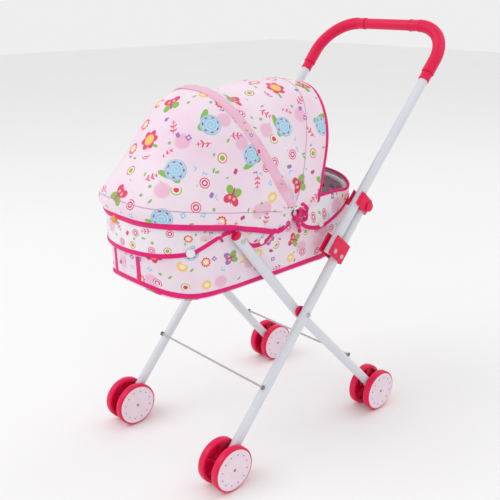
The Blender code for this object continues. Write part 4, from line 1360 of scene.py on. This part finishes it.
@dataclass
class Rims:
    """The padded rolls round both rim wires, the scalloped cuffs over them and the trims."""

    finishes: Finishes
    roll_half: float = 81.3
    roll_r: float = 4.2
    cuff_half: float = 84.7
    head_tip: float = -70.0
    foot_tip: float = 290.0
    foot_join: float = 149.0
    hem_wide: float = 5.4
    head_hem: tuple = ((-70, 326), (-21, 327), (-8, 332), (6, 337), (20, 341.5), (32, 343.5),
                       (40, 342.6), (50, 337.6), (62, 326), (70, 319), (77, 316.2), (88, 315.2),
                       (97, 316.5), (110, 324), (118, 329), (132, 338), (146, 348))
    foot_hem: tuple = ((146, 347), (155, 339), (165, 330), (175, 322.5), (185, 318), (203, 314.4),
                       (215, 315.6), (227, 319), (236, 323), (245, 327), (257, 335), (264, 343),
                       (270, 347), (290, 350))

    def build(self) -> None:
        """Make the rolls, cuffs, piping, snaps and bows."""
        self.roll("head_rim_roll", self.head_line(self.roll_half, -62.0), "head_rim",
                  "head_rim_wire")
        self.roll("foot_rim_roll", self.foot_line(self.roll_half - 2.2, 284.0), "foot_rim",
                  "foot_rim_wire")
        self.cuff("head", self.head_line(self.cuff_half, self.head_tip), self.head_hem, "head_rim")
        self.cuff("foot", self.foot_line(self.cuff_half, self.foot_tip), self.foot_hem, "foot_rim")
        self.snaps()
        for name, side in SIDES:
            self.bow(name, side)

    def head_line(self, half: float, tip: float) -> list[tuple[float, float]]:
        """Outline round the head, from the right hinge to the middle."""
        side = [(half, HINGE_Y - (HINGE_Y - HEAD_TURN) * i / 26) for i in range(26)]
        return [*side, *side_to_tip(half, HEAD_TURN, tip, 20)]

    def foot_line(self, half: float, tip: float) -> list[tuple[float, float]]:
        """Outline round the foot, from the right hinge to the middle."""
        side = [(half, self.foot_join + (FOOT_TURN - self.foot_join) * i / 22) for i in range(22)]
        return [*side, *side_to_tip(half, FOOT_TURN, tip, 14)]

    def roll(self, name: str, outline: Outline, body: str, node: str) -> None:
        """A padded roll of white cloth round a rim wire."""
        half = [at(x, y, smooth_line(RIM_LINE, y) + (2.0 if x < self.roll_half - 6 else 0.0))
                for x, y in outline]
        line = resample(both_sides(half), 150)
        radii = [(self.roll_r + 0.35 * math.sin(i * 0.9) + 0.2 * math.sin(i * 2.3)) * MM
                 for i in range(len(line))]
        piece = Bench.sweep(name, line, radii, 16)
        Bench.hang(piece, self.finishes.cuff_print, "printed_fabric", body, node)

    def cuff(self, name: str, outline: Outline, hem: Outline,
             body: str) -> None:
        """A cuff with a piped hem, hung over a rim roll."""
        columns = [(x, y, smooth_line(RIM_LINE, y), smooth_line(hem, y)) for x, y in outline]
        rows = []
        for share in (0.0, 0.05, 0.12, 0.3, 0.5, 0.75, 1.0):
            row = []
            for i, (x, y, rim, low) in enumerate(columns):
                tuck = {0.0: 5.0, 0.05: 1.6, 0.12: 0.3}.get(share, 0.0)
                top = rim + {0.0: 4.6, 0.05: 4.2}.get(share, 2.5)
                flare = 0.5 * share * math.sin(i * 0.7)
                inward = -ACROSS
                if not HEAD_TURN < y < FOOT_TURN:
                    turn = HEAD_TURN if y <= HEAD_TURN else FOOT_TURN
                    inward = Vector((0, turn, 0)) - Vector((x, y, 0))
                shift = inward.normalized() * (tuck - (flare if i > 26 else 0.0))
                height = top if share < 0.1 else top + (low - top) * (share - 0.12) / 0.88
                row.append(at(x + shift.x, y + shift.y, height))
            rows.append(both_sides(row))
        sheet, size, area = Bench.loft(f"{name}_cuff", rows, 0.7 * MM)
        Bench.hang(sheet, self.finishes.cuff_print, "printed_fabric", body)
        hem_pipe = self.hem(f"{name}_cuff_binding", rows[-2], rows[-1])
        Bench.hang(hem_pipe, self.finishes.binding, "printed_fabric", body)
        if name == "foot":
            top = [p + Vector((0, 0, 1.2 * MM)) for p in rows[1]]
            rim_pipe = Bench.sweep("foot_rim_piping", resample(top, 150), 2.3 * MM, 12)
            Bench.hang(rim_pipe, self.finishes.binding, "printed_fabric", body)
        min(area, size[0] * size[1])

    def hem(self, name: str, above: Line, edge: Line) -> Piece:
        """A flat binding folded over a cuff's lower edge."""
        rows = []
        for drop, lift in ((self.hem_wide, 0.3), (self.hem_wide - 1.0, 0.75), (1.2, 0.8),
                           (-0.4, 0.5), (-0.5, -0.5), (self.hem_wide - 1.0, -0.7)):
            row = []
            for i, (high, low) in enumerate(zip(above, edge)):
                up = (high - low).normalized()
                along = (edge[min(i + 1, len(edge) - 1)] - edge[max(i - 1, 0)]).normalized()
                out = along.cross(up).normalized()
                nearest = min(max(low.y, at(0, HEAD_TURN, 0).y), at(0, FOOT_TURN, 0).y)
                out = outwards(out, low - Vector((0, nearest, low.z)))
                row.append(low + up * drop * MM + out * lift * MM)
            rows.append(row)
        return Bench.loft(name, rows, 0.5 * MM)[0]

    def snaps(self) -> None:
        """Press studs on the cuffs, small ones by the bows and the button on the head's tip."""
        for name, side in SIDES:
            out = Vector((side, 0, 0))
            corner = Vector((side * 0.82, -0.57, 0)).normalized()
            places = (("head", 5.6, at(side * 80.4, -24, 331), corner, "head_rim"),
                      ("side", 4.4, at(side * 85.9, 91, 322), out, "head_rim"),
                      ("foot", 4.6, at(side * 85.9, 208, 321), out, "foot_rim"),
                      ("bow_high", 2.6, at(side * 87.6, 169, 338), out, "foot_rim"),
                      ("bow_low", 2.6, at(side * 87.6, 162, 333), out, "foot_rim"))
            for label, radius, base, axis, body in places:
                stud = Bench.dome(f"snap_{label}_{name}", radius, radius * 0.42, base, axis, 28)
                finish = self.finishes.zinc if label.startswith("bow") else self.finishes.snap
                Bench.hang(stud, finish, "pale_pink_plastic", body)
        button = Bench.dome("head_button", 5.2, 3.4, at(-12, -70.6, 364), Vector((0, -1, 0.15)), 24)
        Bench.hang(button, self.finishes.button, "pink_plastic", "head_rim")

    def bow(self, name: str, side: int) -> None:
        """The tied ribbon that holds the rim ends together at the hood's hinge."""
        loops = {"loop_a": ((86, 146, 352), (89, 153, 359), (92, 161, 357), (93, 165, 350),
                            (91.5, 160, 345),
                            (89, 153, 347), (87, 147, 350)),
                 "loop_b": ((86, 147, 349), (89, 152, 343), (91, 160, 338), (91.5, 166, 342),
                            (90, 163, 349),
                            (88.5, 155, 350)),
                 "tail_a": ((88, 150, 349), (90, 152, 340), (89.5, 156, 332), (88, 158, 327)),
                 "knot": ((86, 151, 341), (90, 153, 345), (91.5, 154.5, 350), (89.5, 154, 356),
                          (86, 152, 358))}
        pieces = []
        for label, corners in loops.items():
            line = rounded([at(side * (86 + (x - 86) * 1.2), 150 + (y - 150) * 1.35,
                               349 + (z - 349) * 1.3)
                            for x, y, z in corners], 3.2 * MM, 5)
            width = 3.2 if label == "knot" else 2.6
            radii = [width * (0.85 + 0.25 * math.sin(i * 1.1)) * MM for i in range(len(line))]
            pieces.append(Bench.sweep(f"bow_{label}_{name}", line, radii, 12))
        bow = Bench.join(pieces)
        bow.name = f"rim_bow_{name}"
        Bench.hang(bow, self.finishes.ribbon, "printed_fabric", "head_rim")


@dataclass(frozen=True)
class Arch:
    """A line over the hood from hinge to hinge.

    Attributes:
        tilt: degrees from upright, towards the head.
        reach: from the hinge to its crown, in millimetres.
        power: 2 is an ellipse, more is squarer.
        half: its half width at the hinge, in millimetres.
    """

    tilt: float
    reach: float
    power: float
    half: float = 90.4

    def row(self) -> list[Vector]:
        """Points from the right hinge to the crown."""
        lean = math.radians(self.tilt)
        found = []
        for x, y in quarter(ARCH_STEPS, 2 / self.power, 2 / self.power):
            up = self.reach * y
            found.append(at(self.half * x, HINGE_Y - up * math.sin(lean),
                            HINGE_Z + up * math.cos(lean)))
        return found


@dataclass
class Hood:
    """The hood: one curved sheet over two bows, with its bands, piping and seams."""

    finishes: Finishes
    edge_start: tuple = ((90, 146, 350), (89, 137, 334), (88.5, 123, 328), (88, 100, 332),
                         (88, 79, 338), (88, 60, 343.5), (88, 43, 349.5), (87.8, 22, 353))
    edge_tip: float = -69.0
    arches: tuple = (Arch(81, 224, 3.6), Arch(76, 218, 3.4), Arch(66, 201.5, 3.1),
                     Arch(54, 197.5, 2.9), Arch(40.5, 198.5, 2.7), Arch(30, 191.8, 2.5),
                     Arch(24, 176, 2.5, 91), Arch(18.8, 165.5, 2.5, 91.4), Arch(10, 164, 2.5, 92),
                     Arch(3.4, 166, 2.5, 92.4), Arch(-8.8, 169, 2.5, 93),
                     Arch(-22, 179.5, 2.5, 93.6))
    middle_bow: Arch = Arch(31, 186, 2.5, 87.9)
    front_bow: Arch = Arch(-22, 174.5, 2.5, 90.4)
    columns: int = 34
    substeps: int = 4
    cloth: float = 0.8
    middle_key: int = 6
    front_key: int = 12

    def keys(self) -> list[list[Vector]]:
        """The sheet's main lines, from the head's edge to the front opening."""
        low = [at(*p) for p in self.edge_start]
        for x, y in side_to_tip(88.0, HEAD_TURN, self.edge_tip, 14)[1:]:
            share = (HEAD_TURN - y) / (HEAD_TURN - self.edge_tip)
            low.append(at(x, y, 353.3 + 12.7 * share * (1.6 - 0.6 * share)))
        front = [at(91.0 * x, 195 + 45 * rise, 358 + 152 * rise)
                 for x, rise in quarter(ARCH_STEPS, 0.8, 0.8)]
        lines = [resample(low, self.columns, 5 * MM)]
        lines += [resample(arch.row(), self.columns, 5 * MM) for arch in self.arches]
        return [*lines, resample(front, self.columns)]

    def spot(self, lines: Rows, column: int, place: float) -> Vector:
        """A point of the sheet: its column, and its place between the main lines."""
        first = min(max(int(place), 0), len(lines) - 2)
        row = [lines[min(max(first + i, 0), len(lines) - 1)][column] for i in (-1, 0, 1, 2)]
        return catmull(*row, place - first)

    def wrinkle(self, point: Vector) -> Vector:
        """Move a point of the cloth off the smooth shape: pleats at the hinges and soft creases."""
        offset = Vector((0, point.y - HINGE.y, point.z - HINGE.z))
        distance = Vector((abs(point.x) - 0.09, offset.y, offset.z)).length
        turn = math.atan2(-offset.y, offset.z)
        pleat = math.sin(turn * 17.0) * 1.3 * math.exp(-((distance - 0.03) / 0.035) ** 2)
        side = abs(point.x)
        soft = math.sin(point.y * 71 + side * 43) * math.sin(point.z * 57 - side * 38 + 1.0)
        soft = soft * 0.7 * min(distance / 0.06, 1.0)
        out = Vector((point.x, offset.y * 0.9, offset.z * 0.9)).normalized()
        return point + out * (pleat + soft) * MM

    def row(self, lines: Rows, place: float) -> list[Vector]:
        """A full row of the sheet, right side first."""
        half = [self.wrinkle(self.spot(lines, c, place)) for c in range(self.columns)]
        half[-1].x = 0.0
        return both_sides(half)

    def panel(self, name: str, lines: Rows, first: int, last: int, bodies: tuple,
              turns: tuple) -> Piece:
        """One panel of cloth between two main lines, which fans open between two bodies.

        Args:
            name: the piece's name.
            lines: the sheet's main lines.
            first: the main line it begins at.
            last: the one it ends at.
            bodies: what its beginning and its end ride on.
            turns: the tilts, in degrees, between which it turns.

        Returns:
            The panel.
        """
        steps = (last - first) * self.substeps
        rows = [self.row(lines, first + (last - first) * i / steps) for i in range(steps + 1)]
        sheet, size, area = Bench.loft(name, rows, self.cloth * MM, unroll=True)
        Bench.dress(sheet, self.finishes.print, "printed_fabric", 60)
        self.fan(sheet, bodies, turns)
        min(area, size[0] * size[1])
        log.info("%s: %d faces, cut %.3f x %.3f m", name, len(sheet.data.polygons), *size)
        return sheet

    def fan(self, piece: Piece, bodies: tuple, turns: tuple) -> None:
        """Let a piece fan open round the hinge between two bodies.

        Args:
            piece: cloth, or a seam on it.
            bodies: what its beginning and its end ride on.
            turns: the tilts, in degrees, between which it turns.
        """
        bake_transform(piece, *bodies, start=HINGE + Vector((0, -0.1, 0.02)),
                 end=HINGE + Vector((0, 0.02, 0.1)))
        weights = piece.data.attributes["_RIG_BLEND"].data
        for weight, vertex in zip(weights, piece.data.vertices):
            tilt = math.degrees(math.atan2(HINGE.y - vertex.co.y, vertex.co.z - HINGE.z))
            tilt += 360.0 if tilt < -130.0 else 0.0
            weight.value = min(max((turns[0] - tilt) / (turns[0] - turns[1]), 0.0), 1.0)

    def strip(self, name: str, lines: Rows, place: float, widths: Sequence[float],
              lift: float, skip: int = 1) -> Piece:
        """A flat band that follows a main line.

        Args:
            name: the piece's name.
            lines: the sheet's main lines.
            place: the line it follows.
            widths: where its rows lie beside the line, in millimetres.
            lift: how far it lies outside the cloth, in millimetres.
            skip: columns left free at the hinges.

        Returns:
            The band.
        """
        middle = self.row(lines, place)
        ahead = self.row(lines, min(place + 0.12, len(lines) - 1))
        behind = self.row(lines, max(place - 0.12, 0))
        rows = []
        for width in widths:
            row = []
            for i in range(skip, len(middle) - skip):
                over = (ahead[i] - behind[i]).normalized()
                along = (middle[min(i + 1, len(middle) - 1)] - middle[i - 1]).normalized()
                out = outwards(over.cross(along).normalized(), middle[i] - at(0, 130, 380))
                edge = 0.35 if width in (widths[0], widths[-1]) else 1.0
                row.append(middle[i] + over * width * MM + out * lift * edge * MM)
            rows.append(row)
        return Bench.loft(name, rows, 0.7 * MM)[0]

    def seam(self, name: str, lines: Rows, place: float, bodies: tuple,
             turns: tuple) -> None:
        """A line of stitches along a main line, which moves with its panel.

        Args:
            name: the piece's name.
            lines: the sheet's main lines.
            place: the line it follows.
            bodies: what its panel's beginning and end ride on.
            turns: the tilts, in degrees, between which the panel turns.
        """
        row = self.row(lines, place)[2:-2]
        thread = [p + (p - at(0, 130, 365)).normalized() * 0.5 * MM for p in row]
        piece = Bench.sweep(name, thread, 0.45 * MM, 8)
        Bench.dress(piece, self.finishes.seam, "printed_fabric")
        self.fan(piece, bodies, turns)

    def build(self) -> None:
        """Make the panels, the bows under them, and the bands and seams on them."""
        lines = self.keys()
        for name, arch, body in (("middle", self.middle_bow, "hood_middle"),
                                 ("front", self.front_bow, "hood_front")):
            line = resample(both_sides(arch.row()), 90)
            wire = Bench.sweep(f"hood_bow_{name}", line, 1.5 * MM, 12)
            Bench.hang(wire, self.finishes.zinc, "zinc_steel", body, f"hood_{name}_bow")
        binding = self.strip("hood_binding", lines, 0, (-1.5, 0.2, 3, 6, 7.5), 1.3)
        Bench.hang(binding, self.finishes.binding, "printed_fabric", "head_rim")
        piping = self.strip("hood_front_binding", lines, len(lines) - 1,
                            (-5.0, -4.0, -1.0, 0.6), 0.9, 0)
        Bench.hang(piping, self.finishes.binding, "printed_fabric", "hood_front")
        rear, fore = ("head_rim", "hood_middle"), ("hood_middle", "hood_front")
        head = self.panel("hood_head_panel", lines, 0, self.middle_key, rear, (84, 31))
        self.panel("hood_front_panel", lines, self.middle_key, len(lines) - 1, fore, (30, -21))
        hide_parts("hood_fabric")
        band = self.strip("hood_middle_band", lines, self.middle_key,
                          (-7.2, -5.6, 0, 5.6, 7.2), 1.6)
        Bench.hang(band, self.finishes.band, "printed_fabric", "hood_middle")
        self.seam("hood_head_seam", lines, 1.35, rear, (84, 31))
        self.seam("hood_channel_seam", lines, self.front_key - 0.35, fore, (30, -21))


# ------------------------------------------------------------------ floor, lights and camera

@dataclass
class Studio:
    """A pale sweep, soft lights and the camera."""

    aim: tuple = (-0.0249, -0.0251, 0.2614)
    distance: float = 1.1178
    azimuth: float = 47.15
    elevation: float = 19.36
    lens: float = 52.83

    def build(self) -> None:
        """Make the floor, the lights and the camera."""
        self.floor()
        self.light("key_light", (-0.9, -1.6, 2.2), 1.4, 15)
        self.light("fill_light", (2.2, -0.9, 1.4), 1.8, 3)
        self.light("back_light", (0.5, 1.9, 2.3), 1.6, 7)
        world = bpy.context.scene.world or bpy.data.worlds.new("studio")
        bpy.context.scene.world = world
        world.use_nodes = True
        background = world.node_tree.nodes["Background"]
        background.inputs["Color"].default_value = (1.0, 1.0, 1.0, 1.0)
        background.inputs["Strength"].default_value = 0.86
        bpy.context.scene.view_settings.view_transform = "Standard"
        self.camera()

    def floor(self) -> None:
        """A plain white floor."""
        bpy.ops.mesh.primitive_plane_add(size=14.0, location=(0, 0, 0))
        floor = bpy.context.object
        floor.name = "studio_floor"
        graph = Graph("studio_white")
        tone = graph.noise(graph.place("Object"), 2.0)
        graph.set(Base_Color=graph.mix((0.90, 0.90, 0.90), (0.93, 0.93, 0.93), tone),
                  Roughness=0.75)
        floor.data.materials.append(graph.material)

    def light(self, name: str, place: tuple, size: float, power: float) -> None:
        """A square area light that faces the stroller."""
        data = bpy.data.lights.new(name, "AREA")
        data.size = size
        data.energy = power
        lamp = bpy.data.objects.new(name, data)
        bpy.context.scene.collection.objects.link(lamp)
        lamp.location = place
        aim = Vector((0, 0, 0.3)) - Vector(place)
        lamp.rotation_euler = aim.to_track_quat("-Z", "Y").to_euler()

    def camera(self) -> None:
        """The camera that the scene is framed for."""
        azimuth, elevation = math.radians(self.azimuth), math.radians(self.elevation)
        back = Vector((math.sin(azimuth) * math.cos(elevation),
                       -math.cos(azimuth) * math.cos(elevation), math.sin(elevation)))
        data = bpy.data.cameras.new("camera")
        data.lens = self.lens
        data.sensor_width = 36.0
        camera = bpy.data.objects.new("camera", data)
        bpy.context.scene.collection.objects.link(camera)
        camera.location = Vector(self.aim) + back * self.distance
        camera.rotation_euler = (-back).to_track_quat("-Z", "Y").to_euler()
        bpy.context.scene.camera = camera


def main() -> None:
    """Build the stroller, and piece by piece."""
    logging.basicConfig(level=logging.INFO, format="%(message)s")
    finishes = Finishes()
    Studio().build()
    for assembly in (Frame(finishes), Wheels(finishes), Handle(finishes), Rims(finishes),
                     Basket(finishes), Hood(finishes)):
        log.info("building %s", type(assembly).__name__)
        assembly.build()


if __name__ == "__main__":
    main()
